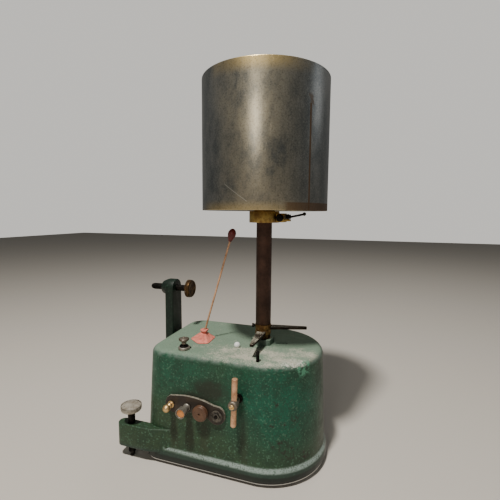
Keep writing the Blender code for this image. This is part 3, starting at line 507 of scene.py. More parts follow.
def make_enamel(name, stained):
    finish, tree, inputs = new_finish(name)
    place = here(tree)
    ragged = noise(tree, place, 120.0, 6.0, 0.62)
    broad = noise(tree, place, 14.0, 4.0, 0.55)
    pebbles = effect(tree, PEBBLES, scale=620.0)
    height = add(tree, "ShaderNodeSeparateXYZ", {0: place}).outputs["Z"]
    up = facing_up(tree)

    if stained:
        olive, teal, shade = (0.030, 0.062, 0.028), (0.006, 0.098, 0.055), (0.014, 0.032, 0.019)
        left = smudge(tree, place, (-95, -66, 122), (60, 60, 34), broad, 0.75)
        clean = either(tree, [smudge(tree, place, (40, -66, 92), (66, 60, 54), broad, 0.75),
                              times(tree, left, 0.75)])
    else:
        # The side arm's copy: a darker green than the case's, made darker still as painted shade for its
        # shaded sides.
        olive, teal, shade = (0.005, 0.014, 0.008), (0.004, 0.024, 0.013), (0.002, 0.008, 0.005)
        clean = step(tree, broad, 0.45, 0.62)
    colour = blend(tree, clean, olive, teal)
    mottle = step(tree, noise(tree, place, 60.0, 5.0, 0.65), 0.42, 0.66)
    colour = blend(tree, times(tree, mottle, 0.45), colour, shade)
    grain = step(tree, noise(tree, place, 450.0, 3.0, 0.7), 0.40, 0.62)
    colour = blend(tree, times(tree, grain, 0.5), colour, shade)
    speck = times(tree, pebbles["Speck"], 0.42 if stained else 0.12)
    colour = blend(tree, speck, colour, (0.10, 0.22, 0.14))
    flecks = step(tree, noise(tree, place, 420.0, 2.0, 0.5), 0.70, 0.74)
    colour = blend(tree, times(tree, flecks, 0.7), colour, (0.012, 0.014, 0.012))
    rough = plus(tree, times(tree, mottle, 0.12), 0.42)

    if stained:
        oil, runs = enamel_stains(tree, place, ragged)
        colour = blend(tree, times(tree, oil, 0.85), colour, (0.018, 0.022, 0.014))
        colour = blend(tree, times(tree, runs, 0.35), colour, (0.034, 0.030, 0.015))
        scabs = enamel_marks(tree, place, ragged)
        colour = blend(tree, times(tree, scabs, 0.95), colour, (0.020, 0.016, 0.012))

        low = step(tree, height, 0.0205, 0.0165)
        colour = blend(tree, times(tree, low, 0.65), colour, (0.024, 0.046, 0.040))
        # Painted shade: the lowest band of the bead, just above the gap over the bench, is painted nearly
        # black.
        foot_shade = step(tree, height, 0.0150, 0.0120)
        colour = blend(tree, times(tree, foot_shade, 0.85), colour, (0.010, 0.013, 0.011))
        # Rubbed grey along the rounded upper edge, and painted paler there as a highlight where the edge
        # catches the light from above.
        rim = CASE_TOP * MM
        edge = times(tree, step(tree, height, rim - 0.0085, rim - 0.003),
                     step(tree, up, 0.97, 0.72))
        edge = times(tree, edge, step(tree, ragged, 0.30, 0.58))
        colour = blend(tree, times(tree, edge, 0.6), colour, (0.17, 0.22, 0.19))
        shelf = times(tree, step(tree, height, 0.0250, 0.0215),
                      step(tree, up, 0.10, 0.40))
        worn = step(tree, noise(tree, place, 700.0, 3.0, 0.7), 0.34, 0.52)
        colour = blend(tree, times(tree, times(tree, shelf, worn), 0.85),
                       colour, (0.30, 0.37, 0.34))

        near = smudge(tree, place, (24, -44, CASE_TOP), (96, 34, 30), broad, 0.6)
        amount = plus(tree, times(tree, near, 0.34), 0.46)
        dust = effect(tree, DUST, facing=up, amount=amount, scale=1150.0)["Mask"]
        raised = step(tree, height, 0.095, 0.105)
        dust = times(tree, dust, raised)
        flat = times(tree, step(tree, up, 0.5, 0.95), raised)
        film = times(tree, flat, 0.66)
        colour = blend(tree, film, colour, (0.24, 0.33, 0.245))
        colour = blend(tree, times(tree, dust, 0.85), colour, (0.56, 0.52, 0.42))
        pits = times(tree, step(tree, noise(tree, place, 700.0, 3.0, 0.7), 0.58, 0.66), flat)
        colour = blend(tree, times(tree, pits, 0.7), colour, (0.06, 0.07, 0.052))
        chips = times(tree, smudge(tree, place, (62, -43, 132), (9, 12, 8), ragged, 0.2),
                      step(tree, noise(tree, place, 170.0, 4.0, 0.7), 0.44, 0.52))
        colour = blend(tree, chips, colour, (0.085, 0.27, 0.165))
        primer = times(tree, smudge(tree, place, (54, -50, 138), (17, 14, 3.4), ragged, 0.3),
                       step(tree, noise(tree, place, 300.0, 4.0, 0.7), 0.47, 0.56))
        colour = blend(tree, primer, colour, (0.55, 0.56, 0.48))
        dull = plus(tree, times(tree, dust, 0.35), times(tree, film, 0.5))
        rough = plus(tree, rough, dull)
    tree.links.new(colour, inputs["Base Color"])
    tree.links.new(rough, inputs["Roughness"])
    inputs["Specular IOR Level"].default_value = 0.35
    bump(tree, inputs, pebbles["Height"], 0.5, 0.0005)
    return finish


CASE_TOP = round(corner("case_casting", 1).z - 7.1, 1)
ENAMEL = make_enamel("green_enamel", True)
# The side arm's enamel is darkened as painted shade.
SHADED_ARM_ENAMEL = make_enamel("arm_enamel", False)
print("case top at", CASE_TOP, "mm")

# %% [markdown]
# The drum's finish is nickel plate, worn through to brass in broad vertical patches and along both
# rims; the brass patch on the side facing the camera is also a painted reflection of the warm
# glow in the drum's middle. Fine lines run down it, and one brown drip line marks where the
# paper's seam was pasted.
# The pattern follows the angle round the drum.


# %% Worn nickel
def round_drum(tree, place):
    """The angle round the spindle, in turns from -0.5 to 0.5, and the height in metres."""
    local = add(tree, "ShaderNodeVectorMath", {0: place, 1: world_spot(0, 0, 0)},
                operation="SUBTRACT").outputs[0]
    axes = add(tree, "ShaderNodeSeparateXYZ", {0: local}).outputs
    angle = maths(tree, "ARCTAN2", axes["Y"], axes["X"])
    return maths(tree, "DIVIDE", angle, 2 * math.pi), axes["Z"]


def near_angle(tree, angle, degrees, width, soft=0.4):
    """1 within a width of an angle round the drum, fading at both sides."""
    away = maths(tree, "ABSOLUTE", minus(tree, angle, degrees / 360))
    wrapped = maths(tree, "MINIMUM", away, minus(tree, 1.0, away))
    reach = width / 360
    return step(tree, wrapped, reach * (1 + soft), reach * (1 - soft))


SCRATCH_SLOPE, SCRATCH_HEIGHT = -0.329, 0.2374
SCRATCH_MIDDLE, SCRATCH_HALF = -98, 10


def make_drum_finish():
    finish, tree, inputs = new_finish("worn_nickel")
    place = here(tree)
    angle, height = round_drum(tree, place)
    low, high = (corner("drum_shell", side).z * MM for side in (0, 1))
    tall = effect(tree, SCRATCHES, stretch=(260.0, 260.0, 9.0), amount=0.8)["Mask"]
    hair = effect(tree, SCRATCHES, stretch=(1500.0, 1500.0, 60.0), amount=0.8)["Mask"]
    column = add(tree, "ShaderNodeVectorMath", {0: place, 1: (30.0, 30.0, 16.0)},
                 operation="MULTIPLY").outputs[0]
    cloud = noise(tree, column, 1.0, 6.0, 0.68)
    grain = noise(tree, place, 620.0, 4.0, 0.7)
    wobble = plus(tree, angle, times(tree, minus(tree, cloud, 0.5), 0.12))

    # Brass shows through at the front and back; the front patch faces the camera and also stands for the
    # warm reflection in the drum's middle, a painted reflection.
    patch = either(tree, [near_angle(tree, wobble, -79, 26, 0.7),
                          near_angle(tree, wobble, 95, 34, 0.6)])
    grey = blend(tree, step(tree, cloud, 0.36, 0.66), (0.125, 0.138, 0.140), (0.24, 0.245, 0.235))
    brass = times(tree, times(tree, patch, 0.8), step(tree, cloud, 0.25, 0.62))
    colour = blend(tree, brass, grey, (0.44, 0.385, 0.27))
    crown = times(tree, step(tree, height, high - 0.017, high - 0.002),
                  near_angle(tree, wobble, -80, 30, 0.6))
    foot = times(tree, step(tree, height, low + 0.012, low + 0.001),
                 near_angle(tree, wobble, -95, 40, 0.6))
    colour = blend(tree, maths(tree, "MAXIMUM", crown, times(tree, foot, 0.6)), colour,
                   (0.66, 0.50, 0.23))
    colour = blend(tree, times(tree, step(tree, grain, 0.50, 0.66), 0.30), colour, (0.46, 0.44, 0.37))
    colour = blend(tree, times(tree, step(tree, grain, 0.48, 0.36), 0.40), colour,
                   (0.075, 0.075, 0.068))
    colour = blend(tree, times(tree, tall, 0.14), colour, (0.40, 0.37, 0.30))
    colour = blend(tree, times(tree, hair, 0.25), colour, (0.08, 0.075, 0.065))

    start = low + 0.112
    drip = times(tree, near_angle(tree, angle, -36, 0.85, 0.5),
                 step(tree, height, start, start - 0.002))
    blotch = times(tree, near_angle(tree, wobble, -36, 3.0, 0.5),
                   times(tree, step(tree, height, start - 0.004, start - 0.001),
                         step(tree, height, start + 0.010, start + 0.006)))
    skirt = times(tree, step(tree, height, low + 0.0088, low + 0.0080),
                  near_angle(tree, angle, -6, 52, 0.06))
    brown = either(tree, [times(tree, drip, 0.9), times(tree, blotch, 0.5),
                          times(tree, skirt, 0.75)])
    colour = blend(tree, brown, colour, (0.12, 0.065, 0.03))
    slant = plus(tree, times(tree, angle, SCRATCH_SLOPE), SCRATCH_HEIGHT)
    off = maths(tree, "ABSOLUTE", minus(tree, height, slant))
    scratch = times(tree, step(tree, off, 0.0005, 0.0002),
                    near_angle(tree, angle, SCRATCH_MIDDLE, SCRATCH_HALF, 0.1))
    colour = blend(tree, times(tree, scratch, 0.7), colour, (0.70, 0.68, 0.60))
    spots = step(tree, noise(tree, place, 260.0, 3.0, 0.5), 0.70, 0.76)
    colour = blend(tree, times(tree, spots, 0.45), colour, (0.10, 0.08, 0.055))
    tree.links.new(colour, inputs["Base Color"])

    rough = plus(tree, times(tree, cloud, 0.18), 0.24)
    rough = plus(tree, rough, times(tree, brown, 0.3))
    tree.links.new(rough, inputs["Roughness"])
    inputs["Metallic"].default_value = 0.95
    relief = plus(tree, times(tree, hair, 0.4), times(tree, cloud, 0.8))
    bump(tree, inputs, relief, 0.25, 0.0003)
    return finish


NICKEL = make_drum_finish()

# %% [markdown]
# Round fittings are turned: a profile of (radius, height) pairs, spun round an axis. `softened`
# rounds each corner of a profile first, the way a file breaks a sharp edge, so that every edge
# catches a thin line of light.


# %% Turning
def softened(profile, soft):
    closed = profile[0] == profile[-1]
    points = [Vector(p) for p in (profile[:-1] if closed else profile)]
    count = len(points)
    made = []
    for i, point in enumerate(points):
        if not closed and i in (0, count - 1):
            made.append(point)
            continue
        before = points[i - 1] - point
        after = points[(i + 1) % count] - point
        cut = min(soft, before.length * 0.42, after.length * 0.42)
        first = point + before.normalized() * cut
        last = point + after.normalized() * cut
        made += [first, first * 0.25 + point * 0.5 + last * 0.25, last]
    return made, closed


def strip(bm, upper, lower):
    """Faces between two rings of points; a ring of one point makes a fan."""
    count = max(len(upper), len(lower))
    for i in range(count):
        j = (i + 1) % count
        corners = [upper[i % len(upper)], upper[j % len(upper)]]
        corners += [lower[j % len(lower)], lower[i % len(lower)]]
        bm.faces.new(list(dict.fromkeys(corners)))


def object_from(name, bm, matrix):
    bmesh.ops.recalc_face_normals(bm, faces=bm.faces)
    bmesh.ops.transform(bm, matrix=matrix, verts=bm.verts)
    mesh = bpy.data.meshes.new(name)
    bm.to_mesh(mesh)
    bm.free()
    made = bpy.data.objects.new(name, mesh)
    bpy.context.scene.collection.objects.link(made)
    return made


def shaded(item, angle=32):
    item.data.shade_smooth()
    item.data.set_sharp_from_angle(angle=math.radians(angle))
    return item


def turned(name, profile, matrix, sides=48, soft=0.35):
    points, closed = softened(profile, soft)
    bm = bmesh.new()
    rings = []
    for radius, height in points:
        if radius < 0.0001:
            rings.append([bm.verts.new((0, 0, height * MM))])
            continue
        turns = [2 * math.pi * i / sides for i in range(sides)]
        rings.append([bm.verts.new((radius * MM * math.cos(a), radius * MM * math.sin(a), height * MM))
                      for a in turns])
    pairs = list(zip(rings, rings[1:]))
    if closed:
        pairs.append((rings[-1], rings[0]))
    for upper, lower in pairs:
        strip(bm, upper, lower)
    return shaded(object_from(name, bm, matrix))


def wear(item, finish):
    item.data.materials.clear()
    item.data.materials.append(finish)


def fit(item, finish, body, slot, *nodes):
    """Give a piece its finish, its body and the CAD nodes it stands for; its material slot is not used."""
    wear(item, finish)
    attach(item, body)
    if nodes:
        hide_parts(*nodes)
    return item


# %% [markdown]
# Flat pieces are cut from an outline, thickened and given a small bevel. Boolean cuts make their
# holes, and the result is baked to a plain mesh so that nothing live is left on it.


# %% Flat pieces, cuts and baking
def baked(item):
    """The same object with all its modifiers applied."""
    graph = bpy.context.evaluated_depsgraph_get()
    mesh = bpy.data.meshes.new_from_object(item.evaluated_get(graph))
    item.modifiers.clear()
    item.data = mesh
    return item


def slab(name, outline, low, high, matrix, bevel=0.4, segments=2):
    bm = bmesh.new()
    base = [bm.verts.new((x * MM, y * MM, low * MM)) for x, y in outline]
    top = [bm.verts.new((x * MM, y * MM, high * MM)) for x, y in outline]
    bm.faces.new(base)
    bm.faces.new(top)
    strip(bm, top, base)
    item = object_from(name, bm, matrix)
    if bevel:
        rounding = item.modifiers.new("bevel", "BEVEL")
        rounding.width = bevel * MM
        rounding.segments = segments
        rounding.limit_method = "ANGLE"
        rounding.angle_limit = math.radians(40)
        baked(item)
    return shaded(item)


def combine(item, tools, operation="DIFFERENCE"):
    for tool in tools:
        cut = item.modifiers.new("cut", "BOOLEAN")
        cut.operation = operation
        cut.solver = "EXACT"
        cut.object = tool
    baked(item)
    for tool in tools:
        bpy.data.objects.remove(tool)
    return shaded(item)


def arc(x, y, radius, start, end, steps):
    angles = [math.radians(start + (end - start) * i / steps) for i in range(steps + 1)]
    return [(x + radius * math.cos(a), y + radius * math.sin(a)) for a in angles]


def peg(radius, low, high, matrix, sides=32):
    """A plain cylinder, used to cut or to join."""
    return turned("peg", [(0, high), (radius, high), (radius, low), (0, low)], matrix, sides, 0)


def brick(low, high, matrix):
    outline = [(low[0], low[1]), (high[0], low[1]), (high[0], high[1]), (low[0], high[1])]
    return slab("brick", outline, low[2], high[2], matrix, 0)


# %% [markdown]
# Two features repeat all over the instrument: the knurling on every finger-turned rim, and screw
# threads. Geometry Nodes make both. The knurl puts a thin bar at each point of a circle, and the
# thread puts a ring at each point of a line. Both trees end in Realize Instances and Set
# Material, and the result is baked.


# %% Geometry Nodes trees
def new_tree(name, inputs):
    tree = bpy.data.node_groups.new(name, "GeometryNodeTree")
    for label, kind in inputs:
        tree.interface.new_socket(label, in_out="INPUT", socket_type=kind)
    tree.interface.new_socket("Geometry", in_out="OUTPUT", socket_type="NodeSocketGeometry")
    return tree, add(tree, "NodeGroupInput").outputs


def close_tree(tree, points, instance, finish):
    copies = add(tree, "GeometryNodeInstanceOnPoints", {"Points": points, "Instance": instance})
    real = add(tree, "GeometryNodeRealizeInstances", {"Geometry": copies.outputs[0]})
    last = add(tree, "GeometryNodeSetMaterial", {"Geometry": real.outputs[0], "Material": finish})
    add(tree, "NodeGroupOutput", {"Geometry": last.outputs[0]})
    return tree


def make_knurl_tree():
    tree, given = new_tree("Knurled rim", [
        ("Count", "NodeSocketInt"), ("Rim Radius", "NodeSocketFloat"),
        ("Bar Radius", "NodeSocketFloat"), ("Bar Length", "NodeSocketFloat"),
        ("Finish", "NodeSocketMaterial")])
    rim = add(tree, "GeometryNodeMeshCircle", {"Vertices": given["Count"],
                                               "Radius": given["Rim Radius"]})
    bar = add(tree, "GeometryNodeMeshCone", {
        "Vertices": 5, "Radius Top": given["Bar Radius"], "Radius Bottom": given["Bar Radius"],
        "Depth": given["Bar Length"]})
    return close_tree(tree, rim.outputs["Mesh"], bar.outputs["Mesh"], given["Finish"])


def make_thread_tree():
    tree, given = new_tree("Thread", [
        ("Count", "NodeSocketInt"), ("Pitch", "NodeSocketFloat"),
        ("Shaft Radius", "NodeSocketFloat"), ("Ridge", "NodeSocketFloat"),
        ("Finish", "NodeSocketMaterial")])
    rise = add(tree, "ShaderNodeCombineXYZ", {"Z": given["Pitch"]}).outputs[0]
    line = add(tree, "GeometryNodeMeshLine", {"Count": given["Count"], "Offset": rise}, mode="OFFSET")
    loop = add(tree, "GeometryNodeCurvePrimitiveCircle", {"Resolution": 28,
                                                          "Radius": given["Shaft Radius"]})
    section = add(tree, "GeometryNodeCurvePrimitiveCircle", {"Resolution": 4,
                                                             "Radius": given["Ridge"]})
    ring = add(tree, "GeometryNodeCurveToMesh", {"Curve": loop.outputs["Curve"],
                                                 "Profile Curve": section.outputs["Curve"]})
    return close_tree(tree, line.outputs["Mesh"], ring.outputs["Mesh"], given["Finish"])


KNURL_TREE = make_knurl_tree()
THREAD_TREE = make_thread_tree()


def grown(name, tree, matrix, **inputs):
    """Run a Geometry Nodes tree on an empty mesh and bake it at its place."""
    item = bpy.data.objects.new(name, bpy.data.meshes.new(name))
    bpy.context.scene.collection.objects.link(item)
    modifier = item.modifiers.new(name, "NODES")
    modifier.node_group = tree
    for socket in tree.interface.items_tree:
        key = socket.name.replace(" ", "_").lower()
        if socket.in_out == "INPUT" and key in inputs:
            modifier[socket.identifier] = inputs[key]
    baked(item)
    item.data.transform(matrix)
    return shaded(item, 40)


def knurl(name, matrix, count, rim, bar, length, finish):
    return grown(name, KNURL_TREE, matrix, count=count, rim_radius=rim * MM, bar_radius=bar * MM,
                 bar_length=length * MM, finish=finish)


def thread(name, matrix, count, pitch, shaft, ridge, finish):
    return grown(name, THREAD_TREE, matrix, count=count, pitch=pitch * MM, shaft_radius=shaft * MM,
                 ridge=ridge * MM, finish=finish)


# %% [markdown]
# The case is one iron casting: a plan with a half-round right end, walls that lean in a little so
# that it left its mould, a soft upper edge, a bead round its foot, a hexagonal boss for the
# spindle and a lug for the levelling screw. It is a stack of plan outlines, each a little larger
# or smaller than the next, joined by strips.

# %% The casting
PLAN_HALF = 68.0
PLAN_ROUND_X = 8.0
PLAN_LEFT = -131.0
PLAN_CORNER = 18.0
CORNER_GROWTH = 0.053
EDGE_RADIUS = 8.0
DRAFT = 0.035
WALL = 5.0
CASE_FOOT = corner("case_casting", 0).z
BOSS_TOP = corner("case_casting", 1).z
FLANGE = corner("case_casting", 1).x - PLAN_ROUND_X - PLAN_HALF - DRAFT * (
    CASE_TOP - EDGE_RADIUS - CASE_FOOT - 2)


def lean(height):
    return DRAFT * max(0.0, CASE_TOP - EDGE_RADIUS - height)


def plan(offset, height=0.0):
    """The outline at a height, grown by an offset; the left corners grow rounder upwards."""
    corner_radius = PLAN_CORNER + CORNER_GROWTH * height
    radius = corner_radius + offset
    corner_x = PLAN_LEFT + corner_radius
    corner_y = PLAN_HALF - corner_radius
    return (arc(PLAN_ROUND_X, 0, PLAN_HALF + offset, -90, 90, 96)
            + arc(corner_x, corner_y, radius, 90, 180, 16)
            + arc(corner_x, -corner_y, radius, 180, 270, 16))


def outer_levels():
    foot = lean(CASE_FOOT) + FLANGE
    levels = [(foot - 1.2, CASE_FOOT), (foot - 0.4, CASE_FOOT + 0.5), (foot, CASE_FOOT + 2)]
    for height, proud in ((14, 1.0), (17, 0.97), (18.6, 0.86), (19.8, 0.66), (20.8, 0.42),
                          (21.8, 0.2), (23.2, 0.05), (25.5, 0.0)):
        levels.append((lean(height) + FLANGE * proud, height))
    for i in range(13):
        angle = math.pi / 2 * i / 12
        levels.append((EDGE_RADIUS * (math.cos(angle) - 1),
                       CASE_TOP - EDGE_RADIUS + EDGE_RADIUS * math.sin(angle)))
    return levels


def casting_shell(bm):
    inner = [(lean(CASE_FOOT) - WALL, CASE_FOOT), (-WALL, CASE_TOP - WALL - 6),
             (-WALL - 4, CASE_TOP - WALL)]
    rims = []
    for levels in (outer_levels(), inner):
        loops = []
        for offset, height in levels:
            loops.append([bm.verts.new((x * MM, y * MM, height * MM)) for x, y in plan(offset, height)])
        for lower, upper in zip(loops, loops[1:]):
            strip(bm, upper, lower)
        bm.faces.new(loops[-1])
        rims.append(loops[0])
    strip(bm, rims[0], rims[1])


def lug():
    low, high = 15.0, 44.6
    outline = arc(-160, -72.5, 7, 90, 270, 14)
    outline += [(-130, -79.5), (-118, -78.2), (-106, -75.0), (-96, -72.0), (-88, -70.2)]
    outline += [(-88, -67.4), (-106, -67.4), (-126, -65.5)]
    return slab("lug", outline, low, high, ORIGIN, 1.3, 3)


def boss():
    outline = [(BOSS_RADIUS * math.cos(a), BOSS_RADIUS * math.sin(a)) for a in
               (math.radians(22 + 60 * i) for i in range(6))]
    return slab("boss", outline, CASE_TOP - 2, BOSS_TOP, ORIGIN, 0.7, 3)


BOSS_RADIUS = 14.7
LEVELLER = middle("levelling_screw")
SIDE = middle("side_screw")


def casting_holes():
    holes = [peg(10.5, 128, 150, ORIGIN, 48)]
    holes.append(peg(4.8, 0, 60, placed((LEVELLER.x, LEVELLER.y, 0))))
    for node in ("trip_pin", "oil_plug", "top_terminal_base"):
        spot = middle(node)
        holes.append(peg(2.3, 125, 150, placed((spot.x, spot.y, 0))))
    for node, radius in (("brake_shaft", 3.3), ("terminal_stud_1", 2.6), ("terminal_stud_2", 2.6),
                         ("terminal_stud_3", 2.6), ("terminal_stud_4", 2.6)):
        spot = middle(node)
        holes.append(peg(radius, 50, 80, placed((spot.x, 0, spot.z), "-Y")))
    holes.append(brick((-88.8, -16.2, 125), (-74.8, -11.8, 150), ORIGIN))
    slot = slab("slot", arc(6.4, 0, 1.6, -90, 90, 8) + arc(-6.4, 0, 1.6, 90, 270, 8), -15, 15,
                placed((23.3, 4.5, CASE_TOP), turn=math.radians(13)), 0)
    return holes + [slot]


def make_casting():
    bm = bmesh.new()
    casting_shell(bm)
    case = object_from("case_body", bm, ORIGIN)
    combine(case, [lug(), boss()], "UNION")
    combine(case, casting_holes())
    fit(case, ENAMEL, "case", "green_enamel", "case_casting")
    print("casting", len(case.data.polygons), "faces")


make_casting()

# %% [markdown]
# Under the casting a black steel plate closes the case. It is set in a little from the flange,
# and a strip of bright steel round its lower edge is a painted highlight, the thin line of light
# that the edge catches.
# It carries two rubber feet, and small screws hold it: they are one Geometry Nodes tree of
# points with a turned head on each.


# %% Base plate and feet
def make_base():
    low, high = corner("base_plate", 0).z, corner("base_plate", 1).z
    edge = lean(CASE_FOOT) + FLANGE - 2.2
    plate = slab("closing_plate", plan(edge), low, high, ORIGIN, 0.5)
    fit(plate, BLACK_PAINT, "case", "black_paint", "base_plate")
    # Painted highlight: a bright steel strip round the plate's lower edge stands for the line of light on
    # the edge.
    bright_edge_strip = slab("closing_plate_edge", plan(edge + 0.5), low + 0.3, low + 1.5, ORIGIN, 0.3)
    fit(bright_edge_strip, BRIGHT_STEEL, "case", "bright_steel")
    for side in ("right", "back"):
        spot = middle(side + "_foot")
        top = corner(side + "_foot", 1).z
        profile = [(0, top), (10, top), (10, 0.8), (9.2, 0), (4.6, 0), (4.4, 1.2), (0, 1.2)]
        foot = turned(side + "_rubber_foot", profile, placed((spot.x, spot.y, 0)))
        fit(foot, BLACK_RUBBER, "case", "black_rubber", side + "_foot")


def make_plate_screws():
    tree, given = new_tree("Screws", [("Radius", "NodeSocketFloat"), ("Finish", "NodeSocketMaterial")])
    places = [(-112, -58), (-112, 30), (-30, 62), (48, -46), (48, 46), (-30, -62)]
    joined = add(tree, "GeometryNodeJoinGeometry")
    for x, y in places:
        point = add(tree, "GeometryNodePoints", {"Count": 1, "Position": (x * MM, y * MM, 0)})
        tree.links.new(point.outputs[0], joined.inputs[0])
    head = add(tree, "GeometryNodeMeshCone", {
        "Vertices": 24, "Radius Top": given["Radius"], "Radius Bottom": 0.0028, "Depth": 0.0012})
    close_tree(tree, joined.outputs[0], head.outputs["Mesh"], given["Finish"])
    low = corner("base_plate", 0).z
    screws = grown("plate_screws", tree, placed((0, 0, low - 0.75)), radius=0.0036,
                   finish=BRIGHT_STEEL)
    fit(screws, BRIGHT_STEEL, "case", "bright_steel")


make_base()
make_plate_screws()

# %% [markdown]
# Both thumb screws have the same inch-wide head with a knurled rim. The levelling screw stands
# in the lug, with a turned-down tip on the bench. The side screw lies in the side arm and becomes
# a foot when the instrument is laid down.


# %% Thumb screws
THUMB_RIM = 12.35
THUMB_FACE = 11.2
THUMB_KNURL = (72, 12.25, 0.42, 3.6)


def make_levelling_screw():
    low, high = corner("levelling_screw", 0).z, corner("levelling_screw", 1).z
    stem = placed((LEVELLER.x, LEVELLER.y, 0))
    head = [(0, high - 0.2), (6, high - 0.1), (11.4, high - 0.4), (THUMB_RIM, high - 1.4),
            (THUMB_RIM, high - 5.2), (THUMB_FACE, high - 6.4), (0, high - 6.4)]
    fit(turned("levelling_head", head, stem, 64), HEAD_STEEL, "leveller", "brown_bronze",
        "levelling_screw")
    shank = [(0, high - 6.3), (5.6, high - 6.3), (5.2, high - 7.2), (4.1, high - 7.6), (4.1, 6.6),
             (3.0, 5.4), (3.0, 1.6), (1.5, low), (0, low)]
    fit(turned("levelling_shank", shank, stem, 48), BLACK_STEEL, "leveller", "dark_steel")
    fit(knurl("levelling_knurl", placed((LEVELLER.x, LEVELLER.y, high - 3.3)), *THUMB_KNURL,
              GREY_STEEL),
        GREY_STEEL, "leveller", "brown_bronze")
    fit(thread("levelling_thread", placed((LEVELLER.x, LEVELLER.y, 8)), 43, 1.15, 4.1, 0.36,
               BLACK_STEEL),
        BLACK_STEEL, "leveller", "dark_steel")


def make_side_screw():
    head, tip = -corner("side_screw", 1).x, -corner("side_screw", 0).x
    axis = (0, SIDE.y, SIDE.z)
    shank = [(0, tip), (1.8, tip - 0.4), (3.4, tip - 1.8), (4.2, tip - 4.4), (4.2, head + 7.4),
             (5.2, head + 6.6), (5.2, head + 5.9), (0, head + 5.9)]
    fit(turned("side_shank", shank, placed(axis, "-X"), 48), BLACK_STEEL, "side_thumb", "dark_steel")
    wheel = [(0, head + 6.0), (11.4, head + 6.0), (THUMB_RIM, head + 5.0), (THUMB_RIM, head + 1.2),
             (THUMB_FACE, head), (9.6, head), (9.2, head + 0.5), (3.0, head + 0.7),
             (0, head + 0.7)]
    fit(turned("side_head", wheel, placed(axis, "-X"), 64), BRONZE, "side_thumb", "brown_bronze",
        "side_screw")
    rim = placed((-(head + 3.1), SIDE.y, SIDE.z), "-X")
    fit(knurl("side_knurl", rim, *THUMB_KNURL, BRONZE), BRONZE, "side_thumb", "brown_bronze")
    start = placed((-(tip - 54), SIDE.y, SIDE.z), "-X")
    fit(thread("side_thread", start, 43, 1.15, 4.2, 0.3, BLACK_STEEL), BLACK_STEEL, "side_thumb",
        "dark_steel")


make_levelling_screw()
make_side_screw()

# %% [markdown]
# The side arm is a flat bar with a round top and a coned boss, cast in one piece and held to the
# left wall by two bolts. Three simple solids are joined and bored.


# %% Side arm
ARM_LEFT, ARM_RIGHT = -151.0, -138.3
ARM_HALF = 12.7


def make_side_arm():
    left, right, half = ARM_LEFT, ARM_RIGHT, ARM_HALF
    foot = corner("side_arm", 0).z
    face = [(foot, -half - 1.6), (foot, half + 1.6)] + arc(SIDE.z, 0, half, 90, -90, 32)
    arm = slab("side_arm_casting", face, -right, -left, placed((0, SIDE.y, 0), "-X"), 1.3, 4)
    pad_low = PLAN_LEFT - lean(foot) - 0.3
    pad_high = PLAN_LEFT - lean(122) - 0.3
    pad_face = [(right - 2, foot), (pad_low, foot), (pad_high, 122), (right - 2, 127)]
    pad = slab("pad", pad_face, -half, half, placed((0, SIDE.y, 0), "-Y"), 0.8, 3)
    cone = [(0, 160), (8.2, 160), (9.3, 158.6), (11.6, 153.5), (half - 0.1, 150), (0, 150)]
    boss_piece = turned("boss", cone, placed((0, SIDE.y, SIDE.z), "-X"), 64, 1.0)
    combine(arm, [pad, boss_piece], "UNION")
    holes = [peg(4.8, 130, 170, placed((0, SIDE.y, SIDE.z), "-X"))]
    for node in ("lower_arm_bolt", "upper_arm_bolt"):
        spot = middle(node)
        holes.append(peg(3.3, 125, 160, placed((0, spot.y, spot.z), "-X")))
    combine(arm, holes)
    fit(arm, SHADED_ARM_ENAMEL, "case", "green_enamel", "side_arm")


def make_arm_bolts():
    for node in ("lower_arm_bolt", "upper_arm_bolt"):
        spot = middle(node)
        end, start = -corner(node, 0).x, -corner(node, 1).x
        hexagon = [(5.4 * math.cos(math.radians(60 * i)), 5.4 * math.sin(math.radians(60 * i)))
                   for i in range(6)]
        bolt = slab(node + "_head", hexagon, end - 4, end, placed((0, spot.y, spot.z), "-X"), 0.5, 3)
        shank = peg(3.0, start, end - 3.9, placed((0, spot.y, spot.z), "-X"))
        combine(bolt, [shank], "UNION")
        fit(bolt, DARK_STEEL, "case", "dark_steel", node)


make_side_arm()
make_arm_bolts()

# %% [markdown]
# A black ebonite plate insulates the four front terminals. It is two round ends with a bowed
# strip between them, and handling has rubbed its edge pale, painted paler still as a highlight: the
# faces round the rim get a second material. No two of its knobs match: a small brass ball, a grey
# barrel with a copper face, a bakelite wheel, and a bare stud with a nut and washer.


# %% Terminal plate and knobs
PLATE_FACE = 74.2
PLATE_HALF_THICK = 1.6
STUD_BORE = 2.2
BARREL_END = 89.0
BARREL_RADIUS = 5.6


